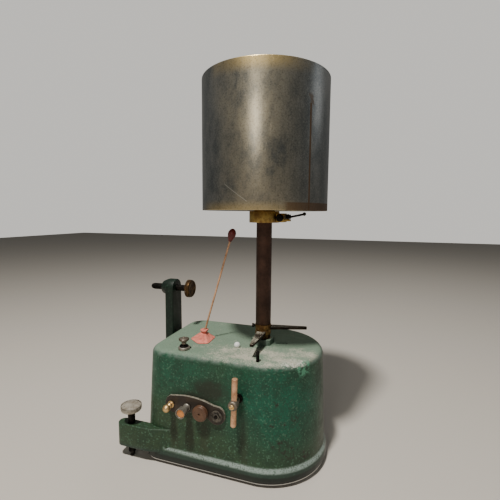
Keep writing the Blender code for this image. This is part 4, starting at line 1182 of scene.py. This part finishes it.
def make_terminal_plate():
    low, high = corner("terminal_plate", 0), corner("terminal_plate", 1)
    left = arc(-89.0, 80.2, 10.6, 110, 282, 24)
    right = arc(-34.0, 75.7, 11.0, -128, 68, 26)
    lower = [(-78, 71.6), (-66, 73.4), (-54, 73.0), (-46, 70.8)]
    upper = [(-37, 86.6), (-41, 87.8), (-46, 89.3), (-52, 90.6), (-58, 91.5), (-64, 92.0),
             (-70, 92.3), (-76, 92.2), (-84, 91.2)]
    depth = PLAN_HALF + DRAFT * (CASE_TOP - EDGE_RADIUS) + 2.0
    lie_on_wall = Matrix.Rotation(math.pi / 2 - math.atan(DRAFT), 4, "X")
    tilt = ORIGIN @ Matrix.Translation((0, -depth * MM, 0)) @ lie_on_wall
    plate = slab("terminal_insulator", left + lower + right + upper, -PLATE_HALF_THICK,
                 PLATE_HALF_THICK, tilt, 0.5, 3)
    holes = []
    for i in range(1, 5):
        spot = middle("terminal_stud_%d" % i)
        holes.append(peg(2.9, 60, 90, placed((spot.x, 0, spot.z), "-Y")))
    combine(plate, holes)
    fit(plate, EBONITE, "case", "ebonite", "terminal_plate")
    # The rim faces get a pale material: the ebonite rubbed pale, and a painted highlight along the edge.
    plate.data.materials.append(RUBBED_AND_HIGHLIT_EDGE)
    for face in plate.data.polygons:
        face.material_index = 0 if abs(face.normal.y) > 0.9 else 1
    print("terminal plate", round(high.x - low.x, 1), "mm wide")


def make_studs():
    for i in range(1, 5):
        node = "terminal_stud_%d" % i
        spot = middle(node)
        end, start = -corner(node, 0).y, -corner(node, 1).y
        profile = [(0, end), (1.9, end), (1.9, 64.2), (4.6, 64.2), (4.6, 61.0), (1.9, 61.0),
                   (1.9, start), (0, start)]
        stud = turned("terminal_post_%d" % i, profile, placed((spot.x, 0, spot.z), "-Y"), 24, 0.3)
        fit(stud, BRASS if i < 4 else BLACK_STEEL, "case", "dull_brass", node)


def ball(radius, centre, steps=12):
    angles = [math.pi * i / steps for i in range(steps + 1)]
    return [(radius * math.sin(a), centre + radius * math.cos(a)) for a in angles]


def make_knob(number, profile, finish, slot, soft=0.3):
    node = "terminal_knob_%d" % number
    spot = middle(node)
    place = placed((spot.x, 0, spot.z), "-Y")
    return fit(turned("binding_knob_%d" % number, profile, place, 48, soft), finish,
               "knob_%d" % number, slot, node)


def make_knobs():
    bore = STUD_BORE
    first = ball(4.5, 84.5)[:-3] + [(2.4, 80.8), (3.1, 80.1), (3.7, 78.8), (3.5, 77.6),
                                    (2.6, 76.5), (2.6, 76.1), (4.2, 75.6), (4.2, PLATE_FACE),
                                    (bore, PLATE_FACE), (bore, 81.4), (0, 81.4)]
    make_knob(1, first, BRIGHT_BRASS, "dull_brass")
    second = [(0, BARREL_END), (4.6, BARREL_END), (4.8, 89.6), (5.3, 89.4), (BARREL_RADIUS, 88.9),
              (BARREL_RADIUS, 83.0), (4.9, 82.4), (3.8, 82.0), (3.8, 75.8), (4.3, 75.4),
              (4.3, PLATE_FACE), (bore, PLATE_FACE), (bore, 80.9), (0, 80.9)]
    make_knob(2, second, GREY_STEEL, "copper_tan")
    spot = middle("terminal_knob_2")
    disc = [(0, 89.6), (4.2, 89.5), (4.6, 89.2), (4.6, 88.9), (0, 88.9)]
    fit(turned("barrel_face", disc, placed((spot.x, 0, spot.z), "-Y"), 48, 0.2), COPPER_FACE,
        "knob_2", "copper_tan")
    rim = placed((spot.x, -85.9, spot.z), "-Y")
    fit(knurl("barrel_knurl", rim, 44, 5.5, 0.36, 4.6, GREY_STEEL), GREY_STEEL, "knob_2", "dull_brass")
    third = [(0, 79.0), (1.4, 79.0), (1.5, 80.5), (1.9, 80.6), (7.9, 80.6), (8.8, 80.2),
             (9.2, 79.4), (9.2, 78.5), (8.75, 78.2), (8.75, 77.6), (9.2, 77.3), (9.2, 75.8),
             (8.4, 75.0), (bore, 75.0), (bore, 77.0), (0, 77.0)]
    make_knob(3, third, BAKELITE, "bakelite", 0.25)
    spot = middle("terminal_nut_4")
    ring = [(7.0, 75.0), (7.0, 74.15), (2.25, 74.15), (2.25, 75.0), (7.0, 75.0)]
    washer = turned("stud_washer", ring, placed((spot.x, 0, spot.z), "-Y"), 48, 0.25)
    fit(washer, NUT_STEEL, "case", "dark_steel", "terminal_nut_4")
    hexagon = [(4.3 * math.cos(math.radians(60 * i + 8)), 4.3 * math.sin(math.radians(60 * i + 8)))
               for i in range(6)]
    nut = slab("stud_nut", hexagon, 75.05, 76.6, placed((spot.x, 0, spot.z), "-Y"), 0.35, 3)
    combine(nut, [peg(2.2, 70, 80, placed((spot.x, 0, spot.z), "-Y"))])
    fit(nut, NUT_STEEL, "case", "dark_steel")
    fit(thread("stud_thread", placed((spot.x, -76.4, spot.z), "-Y"), 3, 0.5, 1.9, 0.14, BLACK_STEEL),
        BLACK_STEEL, "case", "dark_steel")


make_terminal_plate()
make_studs()
make_knobs()

# %% [markdown]
# The fifth terminal stands on top of the case: a black base inside a steel ring, a thin neck, and
# a turned cap with a button on it.


# %% Top terminal
def make_top_terminal():
    spot = middle("top_terminal_base")
    low, high = corner("top_terminal_base", 0).z, corner("top_terminal_base", 1).z
    top = CASE_TOP + 0.3
    stem = placed((spot.x, spot.y, 0))
    base = [(0, high), (1.9, high), (1.9, top + 5.2), (4.8, top + 5.2), (5.2, top + 4.7),
            (5.2, top), (1.9, top), (1.9, low), (0, low)]
    fit(turned("top_post", base, stem, 48, 0.4), BLACK_STEEL, "case", "dark_steel", "top_terminal_base")
    collar = [(6.6, top + 3.3), (7.0, top + 2.6), (7.0, top), (5.1, top), (5.1, top + 3.3),
              (6.6, top + 3.3)]
    fit(turned("top_post_ring", collar, stem, 48, 0.3), GREY_STEEL, "case", "dark_steel")
    start = corner("top_terminal_knob", 0).z
    knob = [(0, start + 9.6), (1.3, start + 9.2), (1.6, start + 8.0), (4.0, start + 7.4),
            (5.3, start + 7.5), (6.1, start + 6.7), (6.1, start + 5.5), (5.5, start + 4.8),
            (3.1, start + 2.8), (2.9, start), (2.2, start), (2.2, start + 2.4), (0, start + 2.4)]
    fit(turned("top_cap", knob, stem, 48, 0.3), WARM_STEEL, "top_knob", "brown_bronze",
        "top_terminal_knob")
    rim = placed((spot.x, spot.y, start + 6.1))
    fit(knurl("top_cap_knurl", rim, 44, 6.0, 0.25, 1.2, BRONZE), BRONZE, "top_knob", "brown_bronze")


make_top_terminal()

# %% [markdown]
# The brake is a T handle: a round bar through a turned hub, a slotted screw on the hub's end and a
# dark gland where the shaft enters the wall.


# %% Brake
BAR_PLACE_Y = -84.0
BAR_RISE = 1.1
BAR_TILT = math.radians(1.7)
BAR_RADIUS = 3.2
BAR_HALF = 27.7


def make_brake():
    shaft = middle("brake_shaft")
    place = placed((shaft.x, 0, shaft.z), "-Y")
    hub_low, hub_high = -corner("brake_handle", 1).y, -corner("brake_handle", 0).y
    bar = [(0, BAR_HALF), (2.8, BAR_HALF), (BAR_RADIUS, 27.2), (BAR_RADIUS, -25.9), (2.3, -27.2),
           (0, -BAR_HALF)]
    stem = placed((shaft.x, BAR_PLACE_Y, shaft.z + BAR_RISE)) @ Matrix.Rotation(BAR_TILT, 4, "Y")
    fit(turned("brake_bar", bar, stem, 40, 0.3), COPPER, "brake", "copper_tan", "brake_handle")
    hub = [(0, hub_high), (4.3, hub_high), (5.4, hub_high - 1.0), (5.4, hub_low + 0.8),
           (4.6, hub_low), (0, hub_low)]
    fit(turned("brake_hub", hub, place, 40, 0.4), WARM_STEEL, "brake", "brown_bronze")
    end = -corner("handle_screw", 0).y
    cap = [(0, end), (1.7, end - 0.1), (2.5, end - 0.6), (2.75, end - 1.2), (2.75, end - 1.8),
           (0, end - 1.8)]
    screw = turned("hub_screw", cap, place, 32, 0.2)
    combine(screw, [brick((-4, -0.4, end - 0.7), (4, 0.4, end + 2), place)])
    fit(screw, BRIGHT_BRASS, "brake", "dull_brass", "handle_screw")
    rod = [(0, hub_low + 0.3), (3.0, hub_low + 0.3), (3.0, 26.0), (0, 26.0)]
    fit(turned("brake_spindle", rod, place, 32, 0.3), WARM_STEEL, "brake", "dark_steel", "brake_shaft")
    front, rear = -corner("brake_gland", 0).y, -corner("brake_gland", 1).y
    gland = [(4.9, front), (5.4, front - 0.6), (5.4, rear), (3.3, rear), (3.3, front),
             (4.9, front)]
    fit(turned("brake_gland_ring", gland, place, 40, 0.3), BLACK_STEEL, "case", "dark_steel",
        "brake_gland")


make_brake()

# %% [markdown]
# The lever is a thin copper-coloured rod with a dark red teardrop knob. Where it passes through
# the top, a perished red rubber boot keeps dust out. The boot is a coarse cage of rings, smoothed
# by Subdivision Surface.

# %% Lever and boot
PIVOT = (Vector(JOINTS["lever_tilt"]["pos_m"]) - Vector((SPINDLE.x, SPINDLE.y, 0))) / MM
ROD_END, EYE_LOW, ROD_RADIUS = 148.8, -14.0, 1.2
LEAN = math.atan2(middle("lever_knob").x - PIVOT.x, middle("lever_knob").z - PIVOT.z)


def make_lever():
    along = placed(PIVOT) @ Matrix.Rotation(LEAN, 4, "Y")
    rod = [(0, ROD_END), (ROD_RADIUS, ROD_END), (ROD_RADIUS, EYE_LOW), (0, EYE_LOW)]
    stick = turned("lever_stick", rod, along, 20, 0.2)
    eye = peg(3.6, -2.6, 2.6, placed(PIVOT, "-Y"))
    combine(stick, [eye], "UNION")
    combine(stick, [peg(1.7, -5, 5, placed(PIVOT, "-Y"))])
    fit(stick, COPPER, "lever", "copper_tan", "lever_rod")
    start = ROD_END
    bulb = [(0, start + 16.6), (1.9, start + 16.2), (3.7, start + 14.4), (4.9, start + 11.8),
            (5.15, start + 9.4), (4.6, start + 6.6), (3.4, start + 3.8), (2.5, start + 1.6),
            (2.0, start), (1.3, start), (1.3, start + 0.2), (0, start + 0.2)]
    fit(turned("lever_bulb", bulb, along, 40, 0.5), RED_PLASTIC, "lever", "red_plastic", "lever_knob")


def boot_loop(bm, corners, centre, reach, height, sink):
    loop = []
    count = len(corners)
    for i, (x, y) in enumerate(corners):
        next_x, next_y = corners[(i + 1) % count]
        for share in (0.0, 0.5):
            px, py = x + (next_x - x) * share, y + (next_y - y) * share
            pull = reach * (1.0 if share == 0 else sink)
            loop.append(bm.verts.new(((centre.x + (px - centre.x) * pull) * MM,
                                      (centre.y + (py - centre.y) * pull) * MM, height * MM)))
    return loop


def make_boot():
    skirt = ((-95.5, -19.6), (-76.2, -34.4), (-63.2, -29.6), (-64.2, -3.4), (-71.0, 2.6), (-89.6, -0.4))
    base = CASE_TOP + 0.35
    neck_shift = math.tan(LEAN)
    bm = bmesh.new()
    loops = []
    for rise, reach, sink in ((0.0, 1.0, 0.93), (0.7, 0.99, 0.92), (2.0, 0.86, 0.84), (4.8, 0.63, 0.82),
                              (7.6, 0.42, 0.86), (9.2, 0.25, 0.9), (9.9, 0.24, 0.95),
                              (10.9, 0.34, 0.95),
                              (12.4, 0.36, 0.95), (13.6, 0.29, 0.95), (13.9, 0.13, 0.95)):
        centre = Vector((PIVOT.x + (base + rise - PIVOT.z) * neck_shift, PIVOT.y, 0))
        follow = min(1.0, rise / 6.0)
        centre.x = -77.2 * (1 - follow) + centre.x * follow
        centre.y = -14.0
        loops.append(boot_loop(bm, skirt, centre, reach, base + rise, sink))
    for lower, upper in zip(loops, loops[1:]):
        strip(bm, upper, lower)
    boot = object_from("rubber_boot", bm, ORIGIN)
    wall = boot.modifiers.new("wall", "SOLIDIFY")
    wall.thickness = 0.9 * MM
    wall.offset = -1.0
    smooth = boot.modifiers.new("smooth", "SUBSURF")
    smooth.levels = 3
    smooth.render_levels = 3
    baked(boot)
    shaded(boot, 60)
    wear(boot, RED_RUBBER)
    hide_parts("lever_boot")
    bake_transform(boot)


make_lever()
make_boot()

# %% [markdown]
# Two small things stand on the top: a glossy white plug in the oil hole, and the trip pin that the
# striker arms press once a turn.


# %% Plug and pin
PLUG_RADIUS = 3.8


def make_small_things():
    spot = middle("oil_plug")
    low, high = corner("oil_plug", 0).z, corner("oil_plug", 1).z
    top = CASE_TOP + 0.3
    profile = ball(PLUG_RADIUS, high - PLUG_RADIUS, 16)[:11]
    profile += [(3.1, top), (1.9, top), (1.9, low), (0, low)]
    plug = turned("white_plug", profile, placed((spot.x, spot.y, 0)), 40, 0.1)
    fit(plug, WHITE, "case", "white_plastic", "oil_plug")
    spot = middle("trip_pin")
    low, high = corner("trip_pin", 0).z, corner("trip_pin", 1).z
    profile = [(0, high), (1.3, high - 0.1), (1.9, high - 0.8), (1.9, 127.0), (3.4, 127.0),
               (3.4, 124.5), (1.9, 124.5), (1.9, low), (0, low)]
    pin = turned("trip_plunger", profile, placed((spot.x, spot.y, 0)), 24, 0.25)
    fit(pin, BLACK_STEEL, "pin", "dark_steel", "trip_pin")


make_small_things()

# %% [markdown]
# Two brass collars turn with the spindle. Each carries a steel pointer that tapers to a narrow
# tip, and a knurled set screw.


# %% Strikers
STRIKER_BORE = 6.65
STRIKER_TIP = 55.5


def make_striker(name, angle, screw_angle):
    low, high = corner(name + "_striker_collar", 0).z, corner(name + "_striker_collar", 1).z
    bore, rim = STRIKER_BORE, corner(name + "_striker_collar", 1).x
    profile = [(rim, high), (rim, low), (bore, low), (bore, high), (rim, high)]
    body = name + "_striker"
    fit(turned(name + "_collar_ring", profile, ORIGIN, 64, 0.5), BRASS, body, "dull_brass",
        name + "_striker_collar")
    arm_low, arm_high = corner(name + "_striker_arm", 0).z, corner(name + "_striker_arm", 1).z
    start, tip = rim + 0.3, STRIKER_TIP
    outline = arc(0, 0, start, 32.5, -32.5, 10) + [(start + 3, -5.6), (tip - 0.8, -2.3),
                                                   (tip, -1.6), (tip, 1.6),
                                                   (tip - 0.8, 2.3), (start + 3, 5.6)]
    turn = Matrix.Rotation(math.radians(angle), 4, "Z")
    arm = slab(name + "_pointer", outline, arm_low, arm_high, ORIGIN @ turn, 0.45, 2)
    fit(arm, POINTER_STEEL, body, "dark_steel", name + "_striker_arm")
    centre = (low + high) / 2
    out = Matrix.Translation((0, 0, centre * MM)) @ Matrix.Rotation(math.radians(screw_angle), 4, "Z")
    out = ORIGIN @ out @ Matrix.Rotation(math.pi / 2, 4, "Y")
    shape = [(0, start + 3.6), (1.9, start + 3.6), (2.4, start + 3.1), (2.4, start + 0.9),
             (1.4, start + 0.5), (1.4, start), (0, start)]
    fit(turned(name + "_set_screw", shape, out, 24, 0.2), BLACK_STEEL, body, "dark_steel",
        name + "_striker_screw")
    grip = out @ Matrix.Translation((0, 0, (start + 2.0) * MM))
    fit(knurl(name + "_set_knurl", grip, 22, 2.4, 0.17, 2.0, BLACK_STEEL), BLACK_STEEL, body,
        "dark_steel")


make_striker("upper", 14, 188)
make_striker("lower", -88, 100)

# %% [markdown]
# The spindle runs from a footstep on the base plate to the top of the drum. A rusty steel tube
# sits over it and carries the drum.


# %% Spindle and tube
def make_spindle():
    low, high = corner("spindle", 0).z, corner("spindle", 1).z
    profile = [(0, high - 1.2), (1.2, high - 0.6), (1.8, high), (5.6, high), (6.35, high - 0.7),
               (6.35, low + 2), (4.5, low), (0, low)]
    fit(turned("long_spindle", profile, ORIGIN, 48, 0.2), BRIGHT_STEEL, "spindle", "bright_steel",
        "spindle")
    low, high = corner("carrier_tube", 0).z, corner("carrier_tube", 1).z
    profile = [(9.65, high), (9.65, low), (6.65, low), (6.65, high), (9.65, high)]
    fit(turned("drum_carrier", profile, ORIGIN, 64, 0.5), RUSTY, "spindle", "rusty_steel",
        "carrier_tube")


make_spindle()

# %% [markdown]
# The drum is a thin metal cylinder with plain turned ends. A brass disc is set a little way
# inside each end, spun with shallow rings and lightened by nothing more than its centre hole.


# %% Drum
def make_drum():
    low, high = corner("drum_shell", 0).z, corner("drum_shell", 1).z
    outer = corner("drum_shell", 1).x
    inner = outer - 1.6
    side = [(outer - 0.5, high), (outer, high - 0.5), (outer, low + 0.5), (outer - 0.5, low),
            (inner, low), (inner, high), (outer - 0.5, high)]
    shell = turned("drum_skin", side, ORIGIN, 256, 0.25)
    fit(shell, NICKEL, "drum", "worn_nickel", "drum_shell")
    for end in ("lower", "upper"):
        node = "drum_disc_" + end
        low, high = corner(node, 0).z, corner(node, 1).z
        rim = inner - 0.3
        top = [(rim, high), (rim - 1.2, high), (rim - 2.0, high - 0.7), (44.0, high - 0.7),
               (42.5, high), (26.0, high), (24.5, high - 0.7), (14.0, high - 0.7), (13.0, high),
               (9.95, high)]
        profile = list(reversed(top)) + [(rim, low), (9.95, low), (9.95, high)]
        disc = turned("drum_end_" + end, profile, ORIGIN, 192, 0.3)
        fit(disc, BRASS, "drum", "dull_brass", node)


make_drum()

# %% [markdown]
# Under the drum a split brass hub grips the tube. Its lug carries a black clamp screw and, on a
# tongue, a small black lever with a ball end.


# %% Hub and clamp
CLAMP_POST = (31.0, -4.4, 0)
HUB_RADIUS, TUBE_BORE = 18.7, 9.95
HUB_SHOULDER = 308.4
LUG_LOW, LUG_HIGH = 295.2, 306.0
CLAMP_LINE = (22, 0, 300.5)


def make_hub():
    low, high = corner("drum_hub", 0).z, corner("drum_hub", 1).z
    rim, bore = HUB_RADIUS, TUBE_BORE
    profile = [(13.0, high), (13.0, HUB_SHOULDER), (rim, HUB_SHOULDER), (rim, low), (bore, low),
               (bore, high), (13.0, high)]
    hub = turned("split_hub", profile, ORIGIN, 64, 0.6)
    lug_piece = slab("lug", [(14, -8), (27, -8), (27, 8), (14, 8)], LUG_LOW, LUG_HIGH, ORIGIN, 0.9, 3)
    tongue = slab("tongue", [(25.5, -7.0), (34.0, -7.0), (34.0, -1.8), (25.5, -1.8)], 296.4, 299.0,
                  ORIGIN, 0.4, 2)
    combine(hub, [lug_piece, tongue], "UNION")
    combine(hub, [peg(1.3, 298.5, 305.2, placed(CLAMP_POST))], "UNION")
    cuts = [brick((6, -0.7, 290), (45, 0.7, 308), ORIGIN), peg(2.4, -20, 20, placed(CLAMP_LINE, "-Y"))]
    combine(hub, cuts)
    fit(hub, HUB_BRASS, "drum", "dull_brass", "drum_hub")


def make_clamp():
    screw = [(0, 13.0), (3.6, 13.0), (4.5, 12.2), (4.5, 8.6), (2.0, 8.6), (2.0, -7.0), (0, -7.0)]
    place = placed(CLAMP_LINE, "-Y")
    head = turned("clamp_screw_head", screw, place, 40, 0.3)
    combine(head, [brick((-5, -0.5, 12.0), (5, 0.5, 15), place)])
    fit(head, BLACK_STEEL, "clamp_screw", "black_paint", "drum_clamp_screw")
    post = placed(CLAMP_POST)
    eye = turned("clamp_handle_arm", [(3.4, 304.6), (3.4, 299.4), (1.6, 299.4), (1.6, 304.6),
                                      (3.4, 304.6)],
                 post, 40, 0.3)
    ends = Vector((33.4, -4.3, 301.6)), Vector((49.6, -3.0, 305.0))
    span = ends[1] - ends[0]
    along = placed(ends[0]) @ span.to_track_quat("Z", "Y").to_matrix().to_4x4()
    rod = peg(1.3, 0, span.length, along, 20)
    tip = turned("ball", ball(2.2, 0), placed((50.2, -3.0, 305.3)), 24, 0)
    combine(eye, [rod, tip], "UNION")
    fit(eye, BLACK_STEEL, "clamp_handle", "black_paint", "clamp_lever")


make_hub()
make_clamp()

# %% [markdown]
# What is left of the CAD model is right in shape: bearings, gears, the motor, contacts and the
# lever's bracket, nearly all inside the case. They keep their meshes and get the same finishes.

# %% Finishes for the pieces kept from the CAD model
INSIDE = {
    "thrust_washer": BRONZE, "upper_bearing": BRASS, "footstep_bearing": BRASS, "lay_bearing": BRASS,
    "spindle_wheel": BRASS, "lay_wheel": BRASS, "lay_shaft": BRIGHT_STEEL, "motor_shaft": BRIGHT_STEEL,
    "gear_frame": BRIGHT_STEEL, "brake_collar": BRIGHT_STEEL, "brake_pad": BRASS, "motor_body": BLACK_PAINT,
    "lever_bracket": DARK_STEEL, "lever_pin": BRIGHT_STEEL, "contact_block": EBONITE,
    "contact_blade": BRASS,
}
for node, finish in INSIDE.items():
    wear(frame["nodes"][node], finish)

print("finished", len(INSIDE), "CAD pieces as they are")
